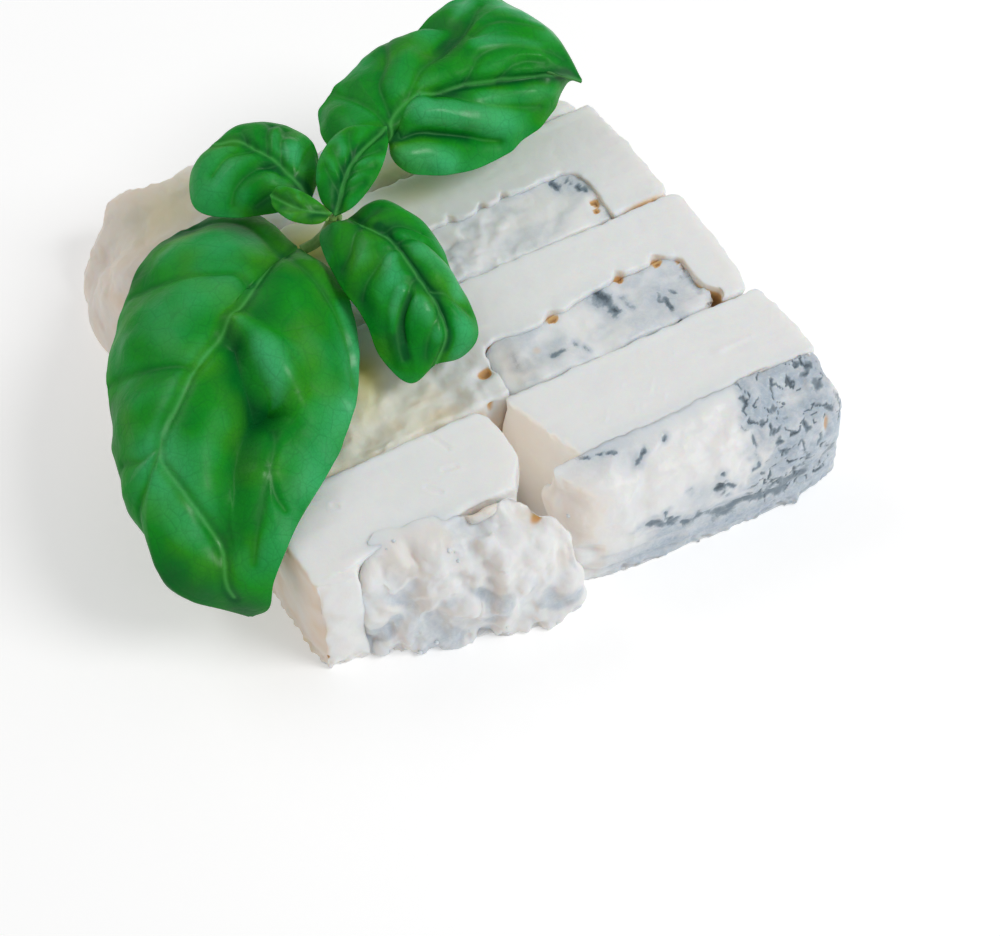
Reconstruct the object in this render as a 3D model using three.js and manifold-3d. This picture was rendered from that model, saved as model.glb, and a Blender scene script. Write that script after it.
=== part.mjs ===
// A slab of gorgonzola and mascarpone, cut from a layered cheese and laid on its cut side.
// Four parallel portions lie one behind the other. Each is a bar of white mascarpone with a
// stripe of blue-veined gorgonzola let into its front, and the front portion is broken in two.
// A sprig of six basil leaves lies on top.
//
// Millimetres, +Z up, +X along the bars, +Y to the back.
// The origin is on the flat underside, below the second portion.

import * as THREE from 'three';
import { mergeVertices } from 'three/addons/utils/BufferGeometryUtils.js';
import Module from 'manifold-3d';

const wasm = await Module();
wasm.setup();

// ---- Driving dimensions ----

const SLAB_HEIGHT = 28;          // flat cut tops of the mascarpone
const GORGONZOLA_HEIGHT = 27;    // the stripes lie a little lower
const CRACK = 0.3;               // gap between pieces that touch

const FRONT_CUT = -25;           // cut between the first and second portions, in Y
const MIDDLE_CUT = 5;            // cut between the second and third portions
const BACK_CUT = 35.5;           // cut between the third portion and the back piece
const STRIPE_DEPTH = 15.5;       // front to back size of a let-in gorgonzola stripe
const FRONT_SEAM = -44.7;        // where the front mascarpone meets its gorgonzola
const BREAK_FOOT = -7.6;         // foot of the right half where the front portion is broken, in X

const LEFT_END = -60;            // left ends of the second and third portions, in X
const THIRD_RIGHT_END = 54.8;    // right ends of the portions
const SECOND_RIGHT_END = 56.6;
const FRONT_RIGHT_END = 58.7;
const FOOT_SPREAD = 2.4;         // how far the soft right end spreads at its foot

const LEAF_THICKNESS = 0.7;
const STEM_RADIUS = 1.2;
const PETIOLE_RADIUS = 0.8;

const EDGE_ROUNDING = 2;         // rounding of a cut mascarpone edge
const LUMP_ROUNDING = 3.5;       // rounding of a soft gorgonzola edge
const GRID_CROWDING = 0.75;      // how far grid lines crowd towards the edges of a block

const { lerp, clamp, smoothstep } = THREE.MathUtils;

// ---- Shared shaping functions ----

// Moves an even grid fraction towards the nearer end, so that edges get the finer facets.
function crowded(fraction) {
  const eased = 0.5 - 0.5 * Math.cos(Math.PI * fraction);
  return lerp(fraction, eased, GRID_CROWDING);
}

// Uneven swelling between -1 and 1 for a spot in plan; size is the width of one lump.
function lumps(x, y, size, phase) {
  const pace = Math.PI / size;
  const broad = Math.sin(pace * x + phase) * Math.cos(pace * 1.2 * y + 2 * phase);
  const fine = Math.sin(pace * (1.7 * x + 1.1 * y) + 3 * phase);
  return (2 * broad + fine) / 3;
}

// The wavy line along which a stripe meets the mascarpone behind it.
function wavy(x, depth, phase) {
  return depth * Math.sin(x / 6.5 + phase) * Math.cos(x / 17 + 2 * phase);
}

// A curve through a few heights or depths given as [place, value] pairs.
function profile(pairs) {
  return (place) => {
    const next = pairs.findIndex(([limit]) => place < limit);
    if (next === 0) {
      return pairs[0][1];
    }
    if (next < 0) {
      return pairs[pairs.length - 1][1];
    }
    const [fromPlace, fromValue] = pairs[next - 1];
    const [toPlace, toValue] = pairs[next];
    return lerp(fromValue, toValue, smoothstep(place, fromPlace, toPlace));
  };
}

// Rounds a spot on the surface of a box that starts at the origin. The foot stays square.
// A pocket is rounded in plan only.
function rounded(spot, size, radius, openTop) {
  const core = new THREE.Vector3(
    clamp(spot.x, radius, size.x - radius),
    clamp(spot.y, radius, size.y - radius),
    openTop ? spot.z : Math.min(spot.z, size.z - radius),
  );
  const reach = spot.clone().sub(core);
  if (reach.lengthSq() === 0) {
    return spot;
  }
  return core.addScaledVector(reach.normalize(), radius);
}

// A block of soft cheese. left and right give X for a fraction of the depth and height,
// front and back give Y for an X and a fraction of the height, and top gives Z for a spot.
function softBlock({ cells, rounding, left, right, front, back, top }, openTop = false) {
  const geometry = new THREE.BoxGeometry(1, 1, 1, ...cells);
  geometry.deleteAttribute('normal');
  geometry.deleteAttribute('uv');
  const middleX = (left(0.5, 0.5) + right(0.5, 0.5)) / 2;
  const size = new THREE.Vector3(
    right(0.5, 0.5) - left(0.5, 0.5),
    back(middleX, 0.5) - front(middleX, 0.5),
    SLAB_HEIGHT,
  );
  const spots = geometry.attributes.position;
  for (let i = 0; i < spots.count; i += 1) {
    const fraction = new THREE.Vector3().fromBufferAttribute(spots, i).addScalar(0.5);
    const even = new THREE.Vector3(crowded(fraction.x), crowded(fraction.y), crowded(fraction.z));
    const spot = rounded(even.multiply(size), size, rounding, openTop).divide(size);
    const x = lerp(left(spot.y, spot.z), right(spot.y, spot.z), spot.x);
    const y = lerp(front(x, spot.z), back(x, spot.z), spot.y);
    spots.setXYZ(i, x, y, spot.z * top(x, y));
  }
  return mergeVertices(geometry);
}

// ---- Cutting and joining ----

function toManifold(geometry) {
  const merged = mergeVertices(geometry);
  const vertProperties = Float32Array.from(merged.attributes.position.array);
  const triVerts = Uint32Array.from(merged.index.array);
  return new wasm.Manifold(new wasm.Mesh({ numProp: 3, vertProperties, triVerts }));
}

function toGeometry(manifold) {
  const { vertProperties, triVerts } = manifold.getMesh();
  const geometry = new THREE.BufferGeometry();
  geometry.setAttribute('position', new THREE.BufferAttribute(vertProperties, 3));
  geometry.setIndex(new THREE.BufferAttribute(triVerts, 1));
  return geometry;
}

// Opens a pocket for a stripe in a block: a crack wider than the stripe, and open above,
// below and to the front, and to the right where the stripe runs out of that end.
function withPocket(block, stripe, openRight) {
  const beyond = 10;
  const pocket = softBlock(
    {
      ...stripe,
      left: (y, z) => stripe.left(y, z) - CRACK,
      right: (y, z) => stripe.right(y, z) + (openRight ? beyond : CRACK),
      front: (x, z) => stripe.front(x, z) - beyond,
      back: (x, z) => stripe.back(x, z) + CRACK,
      top: () => SLAB_HEIGHT + 2 * beyond,
    },
    true,
  );
  pocket.translate(0, 0, -beyond);
  return toGeometry(toManifold(softBlock(block)).subtract(toManifold(pocket)));
}

// ---- Gorgonzola ----

const GORGONZOLA_CELLS = [17, 7, 3];

const frontLeftStripe = {
  cells: [18, 7, 4],
  rounding: LUMP_ROUNDING,
  left: () => -46.4,
  right: (y, z) => lerp(-2.4, -11.5, y) - 1.5 * z,
  front: (x, z) => {
    const foot = profile([[-47, -49.5], [-40, -53], [-30, -56.5], [-18, -60.5], [-4, -61]])(x);
    const lean = profile([[-47, 0.5], [-34, 5]])(x);
    const crumbled = 0.9 * lumps(x, 20 * z, 7, 0.8);
    return foot + lean * z * z + crumbled;
  },
  back: (x) => FRONT_SEAM - CRACK / 2 + wavy(x, 0.5, 1),
  top: (x, y) => {
    const crest = profile([[-48, 24], [-38, 25.5], [-24, 26.5], [-10, 24.5]])(x);
    return crest + 1.4 * lumps(x, y, 6, 0.4);
  },
};

const frontRightStripe = {
  cells: GORGONZOLA_CELLS,
  rounding: LUMP_ROUNDING,
  left: (y, z) => lerp(-1, -6, y) + 2 * z * (1 - y) - 2.4 * y * (1 - z) ** 1.6,
  right: (y, z) => FRONT_RIGHT_END - 0.6 + FOOT_SPREAD * (1 - z) ** 2,
  front: (x, z) => {
    const foot = profile([[-3, -56.5], [12, -58.2], [28, -59.2], [45, -60], [61, -57.8]])(x);
    const lean = profile([[25, 3.5], [55, 1]])(x);
    return foot + lean * z * z + 0.5 * lumps(x, 20 * z, 8, 2.1);
  },
  back: (x) => FRONT_SEAM - CRACK / 2 + wavy(x, 0.4, 2),
  top: (x, y) => lerp(25.5, 27.6, smoothstep(y, -57, -46)) + 0.5 * lumps(x, y, 9, 1.4),
};

const secondStripe = {
  cells: GORGONZOLA_CELLS,
  rounding: LUMP_ROUNDING,
  left: () => -1,
  right: () => 46,
  front: () => FRONT_CUT + CRACK / 2,
  back: (x) => FRONT_CUT + STRIPE_DEPTH - 0.7 + profile([[0, -1], [10, -2], [24, 0], [33, 1]])(x),
  top: (x, y) => GORGONZOLA_HEIGHT + 0.8 * lumps(x, y, 8, 0.6),
};

const thirdStripe = {
  cells: GORGONZOLA_CELLS,
  rounding: LUMP_ROUNDING,
  left: () => -36,
  right: () => 39.6,
  front: () => MIDDLE_CUT + CRACK / 2,
  back: (x) => MIDDLE_CUT + STRIPE_DEPTH - 0.2 + wavy(x, 0.9, 0.5),
  top: (x, y) => GORGONZOLA_HEIGHT + 0.6 * lumps(x, y, 7, 1.9),
};

// ---- Mascarpone ----

const MASCARPONE_CELLS = [14, 6, 3];

const frontLeftBar = {
  cells: [16, 7, 3],
  rounding: EDGE_ROUNDING,
  left: (y) => lerp(-56.3, -57.8, y),
  right: (y, z) => -8.2 - 1.6 * (2 * y - 1) ** 2 + 1.6 * z,
  front: (x, z) => -49.2 + 1.2 * z,
  back: () => FRONT_CUT - CRACK / 2,
  top: () => SLAB_HEIGHT,
};

const frontRightBar = {
  cells: MASCARPONE_CELLS,
  rounding: EDGE_ROUNDING,
  left: (y, z) => {
    // The broken end is hollowed out below its top edge and flows on to the left at its foot.
    const topEdge = lerp(2.2, -4.4, y);
    return lerp(topEdge, BREAK_FOOT, (1 - z) ** 1.6);
  },
  right: (y, z) => FRONT_RIGHT_END - 2.5 * y ** 6 + FOOT_SPREAD * (1 - z) ** 2,
  front: (x) => FRONT_SEAM + CRACK / 2 + wavy(x, 0.4, 2),
  back: () => FRONT_CUT - CRACK / 2,
  top: () => SLAB_HEIGHT,
};

const secondBar = {
  cells: [18, 7, 3],
  rounding: EDGE_ROUNDING,
  left: (y) => LEFT_END + 0.8 * Math.sin(3 * y),
  right: (y, z) => SECOND_RIGHT_END + 0.8 * (1 - z) - 2.2 * (1 - y) ** 8,
  front: () => FRONT_CUT + CRACK / 2,
  back: () => MIDDLE_CUT - CRACK / 2,
  top: (x, y) => {
    // To the left of its stripe this bar is spread soft, in lumps a little lower than its cut top.
    const spread = smoothstep(-y, 8, 13) * smoothstep(-x, 0, 5);
    return SLAB_HEIGHT - spread * (2.4 + 1.3 * lumps(x, y, 8, 0.9));
  },
};

const thirdBar = {
  cells: [18, 7, 3],
  rounding: EDGE_ROUNDING,
  left: (y) => LEFT_END - 0.6 * Math.sin(4 * y),
  right: (y) => THIRD_RIGHT_END - 2 * y ** 2 - 0.8 * (1 - y) ** 8,
  front: () => MIDDLE_CUT + CRACK / 2,
  back: () => BACK_CUT - CRACK / 2,
  top: () => SLAB_HEIGHT,
};

const backBar = {
  cells: [18, 8, 3],
  rounding: LUMP_ROUNDING,
  left: (y, z) => -63 + 5.5 * z * z + 2.5 * y ** 4,
  right: (y, z) => 50.8 - 1.2 * y,
  front: () => BACK_CUT + CRACK / 2,
  back: (x, z) => {
    const slanted = profile([[-56, 65.5], [-45, 70], [-30, 65], [-6, 54], [25, 47], [51, 42]])(x);
    return slanted - 1.5 * z;
  },
  top: (x, y) => {
    // The left end has sunk towards the back corner.
    const sunk = smoothstep(-x, 22, 62) * smoothstep(y, BACK_CUT - 6, 64);
    return SLAB_HEIGHT - 0.4 - 13 * sunk;
  },
};

// ---- Basil ----

function smoothCurve(points) {
  return new THREE.CatmullRomCurve3(points.map((point) => new THREE.Vector3(...point)));
}

// A leaf blade between its midrib and its two edges. Both edges start and end where the midrib
// does, and the blade bulges up by crown between the midrib and each edge.
function leafBlade({ cells, crown, midrib, leftEdge, rightEdge }) {
  const base = midrib[0];
  const tip = midrib[midrib.length - 1];
  const ribCurve = smoothCurve(midrib);
  const leftCurve = smoothCurve([base, ...leftEdge, tip]);
  const rightCurve = smoothCurve([base, ...rightEdge, tip]);
  const endMargin = 0.02;
  const fullWidth = 12;
  const surface = (along, across) => {
    const u = lerp(endMargin, 1 - endMargin, clamp(along, 0, 1));
    const rib = ribCurve.getPointAt(u);
    const edge = (across > 0 ? leftCurve : rightCurve).getPointAt(u);
    const share = Math.abs(across);
    const width = rib.distanceTo(edge);
    const spot = rib.lerp(edge, share);
    spot.z += 4 * share * (1 - share) * crown * Math.min(1, width / fullWidth);
    return spot;
  };
  const geometry = new THREE.BoxGeometry(1, 2, 1, ...cells, 1);
  geometry.deleteAttribute('normal');
  geometry.deleteAttribute('uv');
  const spots = geometry.attributes.position;
  const step = 0.01;
  for (let i = 0; i < spots.count; i += 1) {
    const along = clamp(spots.getX(i) + 0.5, step, 1 - step);
    const across = clamp(spots.getY(i), step - 1, 1 - step);
    const lengthwise = surface(along + step, across).sub(surface(along - step, across));
    const sideways = surface(along, across + step).sub(surface(along, across - step));
    const normal = lengthwise.cross(sideways).normalize();
    const spot = surface(spots.getX(i) + 0.5, spots.getY(i));
    spot.addScaledVector(normal, spots.getZ(i) * LEAF_THICKNESS);
    spots.setXYZ(i, spot.x, spot.y, spot.z);
  }
  return mergeVertices(geometry);
}

// A round stalk along a curve, closed at both ends.
function stalk(points, radius) {
  const quarterSteps = 4;
  const steps = 4;
  const outline = new THREE.Shape().absarc(0, 0, radius, 0, 2 * Math.PI, false);
  const geometry = new THREE.ExtrudeGeometry(outline, {
    extrudePath: smoothCurve(points),
    steps,
    curveSegments: quarterSteps,
  });
  geometry.deleteAttribute('normal');
  geometry.deleteAttribute('uv');
  return toManifold(geometry);
}

// The leaves, from base to tip. Points are at real places on the blade.
const leaves = {
  basil_leaf_large: {
    cells: [14, 8],
    crown: 2,
    midrib: [
      [-25, 22, 36], [-42, 12, 41], [-57, 1, 42], [-68, -10, 40], [-76, -20, 34], [-78, -29.5, 24],
      [-66, -38.5, 14],
    ],
    leftEdge: [
      [-22, 8, 37], [-26, -7, 33], [-38, -22, 30.5], [-53, -34, 30.5], [-60.5, -39, 25],
      [-63, -40.5, 18],
    ],
    rightEdge: [[-30, 39, 33], [-47, 39, 33], [-65, 23, 32], [-74, 3, 30], [-78, -13, 27]],
  },
  basil_leaf_upper: {
    cells: [12, 8],
    crown: 2,
    midrib: [[1, 32, 45], [14, 38, 49], [30, 37, 49], [46, 30, 42]],
    leftEdge: [[-9, 33, 44], [-7, 48, 43], [3, 52, 45], [22, 59, 46], [39, 57, 46], [46, 42, 45]],
    rightEdge: [[1, 27, 42], [6, 25, 39], [20, 24, 36], [37, 29, 37], [45, 34, 39]],
  },
  basil_leaf_lower: {
    cells: [10, 8],
    crown: 1.5,
    midrib: [
      [-15.4, 18.4, 43.4], [-13, 12, 45.5], [-11, 5, 46], [-10, -4, 44], [-10, -12, 39],
      [-13, -14, 32],
    ],
    leftEdge: [[-7, 19, 44], [-2, 11, 41], [-2, -2, 38], [-3, -13, 34], [-7, -14, 31]],
    rightEdge: [[-21, 19, 42], [-23, 10, 41], [-22, -3, 38], [-22, -9, 34], [-19, -15, 31]],
  },
  basil_leaf_left: {
    cells: [10, 8],
    crown: 1.5,
    midrib: [[-20, 25.5, 44.5], [-23, 31, 47], [-26, 39, 48], [-31, 48, 45]],
    leftEdge: [[-26, 27, 43], [-35, 31, 42], [-40, 37, 41], [-37, 46, 42]],
    rightEdge: [[-15, 32, 44.5], [-13, 39, 45], [-17, 46, 45.5], [-24, 50, 45]],
  },
  basil_leaf_centre: {
    cells: [8, 6],
    crown: 1,
    midrib: [[-18.2, 18, 46.4], [-11, 25, 51], [0.5, 31.5, 50]],
    leftEdge: [[-19.2, 22, 47.6], [-16.5, 28.5, 50.5], [-7.5, 34, 51]],
    rightEdge: [[-14.5, 17.2, 48], [-8, 20, 50], [-2, 26.5, 50.3]],
  },
  basil_leaf_tiny: {
    cells: [6, 4],
    crown: 0.6,
    midrib: [[-18.9, 17.4, 48.4], [-24.6, 19.6, 50.6], [-28, 27, 49]],
    leftEdge: [[-22.3, 16.2, 48.4], [-27, 18.8, 49], [-28.7, 24, 49]],
    rightEdge: [[-20.6, 20.4, 49.6], [-23, 24, 50.6], [-26, 27, 50.5]],
  },
};

// The stem of the sprig with the stalks of its leaves, which meet at one joint.
function sprigStem() {
  const joint = [-17.5, 21.2, 43.2];
  const main = stalk([[-24.6, 21.8, 35.6], [-20.5, 21.4, 36.8], [-18, 21.5, 40], joint], STEM_RADIUS);
  const stalks = [
    [joint, [-10, 26, 43], [-0.8, 30.8, 44.2]],
    [joint, [-16.8, 20.3, 43.2], [-16.2, 19.5, 43.3]],
    [joint, [-18.5, 22.8, 43.8], [-19.5, 24.3, 44]],
    [joint, [-18, 20, 44.3], [-18.1, 18.8, 44.9]],
    [joint, [-20.5, 20.2, 45.6], [-20.1, 17.9, 47.1]],
  ].map((points) => stalk(points, PETIOLE_RADIUS));
  return toGeometry(stalks.reduce((whole, part) => whole.add(part), main));
}

// ---- The finished object ----

const mascarpone = { color: 0xe6e4dc, roughness: 0.5, metalness: 0 };
const gorgonzola = { color: 0xdfe2ea, roughness: 0.42, metalness: 0 };
const basilLeaf = { color: 0x2c8a2b, roughness: 0.42, metalness: 0 };
const basilStem = { color: 0x6fa53a, roughness: 0.5, metalness: 0 };

const slab = new THREE.Group();

function addPiece(name, geometry, finish) {
  const piece = new THREE.Mesh(geometry, new THREE.MeshStandardMaterial(finish));
  piece.name = name;
  slab.add(piece);
}

addPiece('mascarpone_front_left', withPocket(frontLeftBar, frontLeftStripe, true), mascarpone);
addPiece('mascarpone_front_right', softBlock(frontRightBar), mascarpone);
addPiece('mascarpone_second', withPocket(secondBar, secondStripe, false), mascarpone);
addPiece('mascarpone_third', withPocket(thirdBar, thirdStripe, false), mascarpone);
addPiece('mascarpone_back', softBlock(backBar), mascarpone);

addPiece('gorgonzola_front_left', softBlock(frontLeftStripe), gorgonzola);
addPiece('gorgonzola_front_right', softBlock(frontRightStripe), gorgonzola);
addPiece('gorgonzola_second', softBlock(secondStripe), gorgonzola);
addPiece('gorgonzola_third', softBlock(thirdStripe), gorgonzola);

for (const [name, leaf] of Object.entries(leaves)) {
  addPiece(name, leafBlade(leaf), basilLeaf);
}
addPiece('basil_stem', sprigStem(), basilStem);

export default slab;
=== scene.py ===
# %% [markdown]
# # A slab of gorgonzola and mascarpone with a basil sprig
#
# This lesson dresses a plain solid model of a layered cheese. The solids give every piece its
# place and size; the script gives each one its soft, torn, veined or leafy surface. All lengths
# in the lists are millimetres in the model's own frame: +Z up, +X along the bars, +Y to the back.

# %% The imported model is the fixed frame
import itertools
import math

import bmesh
import bpy
import numpy as np
from mathutils import Matrix


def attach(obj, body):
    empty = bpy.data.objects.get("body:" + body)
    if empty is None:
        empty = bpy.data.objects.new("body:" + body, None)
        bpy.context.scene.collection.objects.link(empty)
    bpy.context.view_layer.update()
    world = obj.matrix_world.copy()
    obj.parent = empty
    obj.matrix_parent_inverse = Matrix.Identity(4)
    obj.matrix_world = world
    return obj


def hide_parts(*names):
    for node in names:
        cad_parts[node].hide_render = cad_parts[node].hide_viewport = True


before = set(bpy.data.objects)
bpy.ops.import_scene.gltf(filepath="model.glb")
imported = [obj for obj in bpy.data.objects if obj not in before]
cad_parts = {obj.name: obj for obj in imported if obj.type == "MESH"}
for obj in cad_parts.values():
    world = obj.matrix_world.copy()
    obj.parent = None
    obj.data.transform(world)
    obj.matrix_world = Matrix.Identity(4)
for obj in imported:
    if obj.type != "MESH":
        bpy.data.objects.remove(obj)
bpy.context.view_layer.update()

MM = 0.001
print("nodes in the frame:", len(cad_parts))

# %% [markdown]
# The camera comes first, because it settles how fine the surfaces must be. It stands above the
# front left corner and looks down at 56 degrees through a long lens, so the parallel cuts of
# the cheese stay nearly parallel in the picture. One millimetre of cheese is about 4.6 pixels.

# %% Camera
CAMERA_PLACE = (-121.06, -222.58, 350.0)
CAMERA_TILT = math.radians(56.5)
CAMERA_ROLL = math.radians(1.9)
CAMERA_TURN = math.radians(29.1)
LENS = 72.0
SENSOR = 36.0


def unit(vector):
    return vector / np.linalg.norm(vector)


def camera_axes(tilt, roll, turn):
    """The camera's right, down and forward directions in the frame, as the rows of an array."""
    up_seen = np.array([
        math.cos(tilt) * math.sin(roll), -math.cos(tilt) * math.cos(roll), -math.sin(tilt)
    ])
    side = unit(np.array([1.0, 0.0, 0.0]) - up_seen * up_seen[0])
    depth = np.cross(up_seen, side)
    x_seen = math.cos(turn) * side + math.sin(turn) * depth
    y_seen = np.cross(up_seen, x_seen)
    return np.column_stack([x_seen, y_seen, up_seen])


right, down, forward = camera_axes(CAMERA_TILT, CAMERA_ROLL, CAMERA_TURN)
camera_data = bpy.data.cameras.new("camera")
camera_data.lens = LENS
camera_data.sensor_width = SENSOR
camera_data.clip_start = 0.01
camera = bpy.data.objects.new("camera", camera_data)
turned = Matrix([[right[i], -down[i], -forward[i]] for i in range(3)]).to_4x4()
turned.translation = [place * MM for place in CAMERA_PLACE]
camera.matrix_world = turned
bpy.context.collection.objects.link(camera)
bpy.context.scene.camera = camera
print("camera looks along", np.round(forward, 3))

# %% [markdown]
# Fresh cheese and basil are pictured in soft daylight: one broad light from the right and a
# little behind the camera, a weaker one from the back left, and white all round. The floor is
# plain and pale. The standard view transform keeps whites and greens as they are measured.

# %% Floor and studio light
FLOOR_HALF = 2.0
WORLD_STRENGTH = 0.42
LIGHTS = {
    "window_right": {"place": (0.46, -0.42, 0.72), "size": 0.45, "power": 3.8},
    "window_back": {"place": (-0.30, 0.60, 0.60), "size": 0.5, "power": 1.15},
}
TARGET = (0.0, 0.0, 0.02)

floor_mesh = bpy.data.meshes.new("floor")
corners = [(-1, -1), (1, -1), (1, 1), (-1, 1)]
floor_mesh.from_pydata([(x * FLOOR_HALF, y * FLOOR_HALF, 0) for x, y in corners], [], [(0, 1, 2, 3)])
floor = bpy.data.objects.new("floor", floor_mesh)
bpy.context.collection.objects.link(floor)

for name, light in LIGHTS.items():
    lamp = bpy.data.lights.new(name, "AREA")
    lamp.shape = "DISK"
    lamp.size = light["size"]
    lamp.energy = light["power"]
    holder = bpy.data.objects.new(name, lamp)
    back = np.array(light["place"]) - np.array(TARGET)
    across = unit(np.cross((0.0, 0.0, 1.0), back))
    above = unit(np.cross(back, across))
    aimed = Matrix(np.column_stack([across, above, unit(back)]).tolist()).to_4x4()
    aimed.translation = light["place"]
    holder.matrix_world = aimed
    bpy.context.collection.objects.link(holder)

world = bpy.data.worlds.new("white_studio")
world.use_nodes = True
world.node_tree.nodes["Background"].inputs["Color"].default_value = (1.0, 1.0, 1.0, 1.0)
world.node_tree.nodes["Background"].inputs["Strength"].default_value = WORLD_STRENGTH
bpy.context.scene.world = world
bpy.context.scene.view_settings.view_transform = "Standard"
print("lights:", list(LIGHTS))

# %% [markdown]
# Uneven food needs uneven numbers that are the same on every run. Gradient noise is the usual
# answer: a random slope at each corner of a grid, blended smoothly in between. Octaves of it at
# halved sizes give lumps with smaller lumps on them.

# %% Noise
SLOPES = np.random.default_rng(7).normal(size=(256, 3))
SLOPES /= np.linalg.norm(SLOPES, axis=1, keepdims=True)
SHUFFLE = np.random.default_rng(11).permutation(256)


def one_noise(spots, seed):
    """Smooth noise between about -1 and 1 at each row of spots; one lump is one unit wide."""
    cell = np.floor(spots).astype(np.int64)
    part = spots - cell
    ease = part**3 * (part * (part * 6 - 15) + 10)
    total = np.zeros(len(spots))
    for step in itertools.product((0, 1), repeat=3):
        corner = cell + step
        pick = SHUFFLE[(corner[:, 0] + seed) & 255]
        pick = SHUFFLE[(pick + corner[:, 1]) & 255]
        pick = SHUFFLE[(pick + corner[:, 2]) & 255]
        away = part - step
        share = np.prod(np.where(step, ease, 1 - ease), axis=1)
        total += share * np.einsum("ij,ij->i", SLOPES[pick], away)
    return total * 1.6


def noise(spots, size, seed, octaves=1):
    """Noise with lumps of a size in mm, or of three sizes along X, Y and Z."""
    scaled = spots / np.asarray(size, float)
    total, weight = np.zeros(len(spots)), 1.0
    for octave in range(octaves):
        total += weight * one_noise(scaled * 2**octave, seed + 31 * octave)
        weight *= 0.5
    return total


def ramp(values, low, high):
    """0 below low, 1 above high and a smooth rise between; high may be the smaller."""
    part = np.clip((values - low) / (high - low), 0, 1)
    return part * part * (3 - 2 * part)


def bell(distance, width):
    """1 at no distance, fading to 0 about one and a half widths away on either side."""
    return np.exp(-((distance / width) ** 2))


print("noise at a spot:", noise(np.array([[1.3, 2.1, 0.4]]), 2.0, 3, 3).round(3))

# %% [markdown]
# A node of the imported model is a few hundred flat facets. Its copy is merged, because the
# imported mesh is loose triangles, and then voxel remeshed: that wraps a skin of even half
# millimetre faces round it, which can carry lumps anywhere. A few rounds of averaging each
# point with its neighbours take the facets out and soften the corners, as in fresh cheese.

# %% A fine soft skin for a cheese piece
# Masks: warm tint and shade, crack shade, leaf light, glow (all painted), mould and its shade.
MASKS = ("warm", "recess_shade", "leafy", "glow", "blue_mould_and_shade", "vein")
MERGE_DISTANCE = 1e-6
FAR_AWAY = 1e3
FOOT_HEIGHT = 0.3
FLOOR_CLEARANCE = 0.02
EDGE_POWER = 5.0
WALL_HEIGHTS = (6.0, 16.0)


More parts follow.
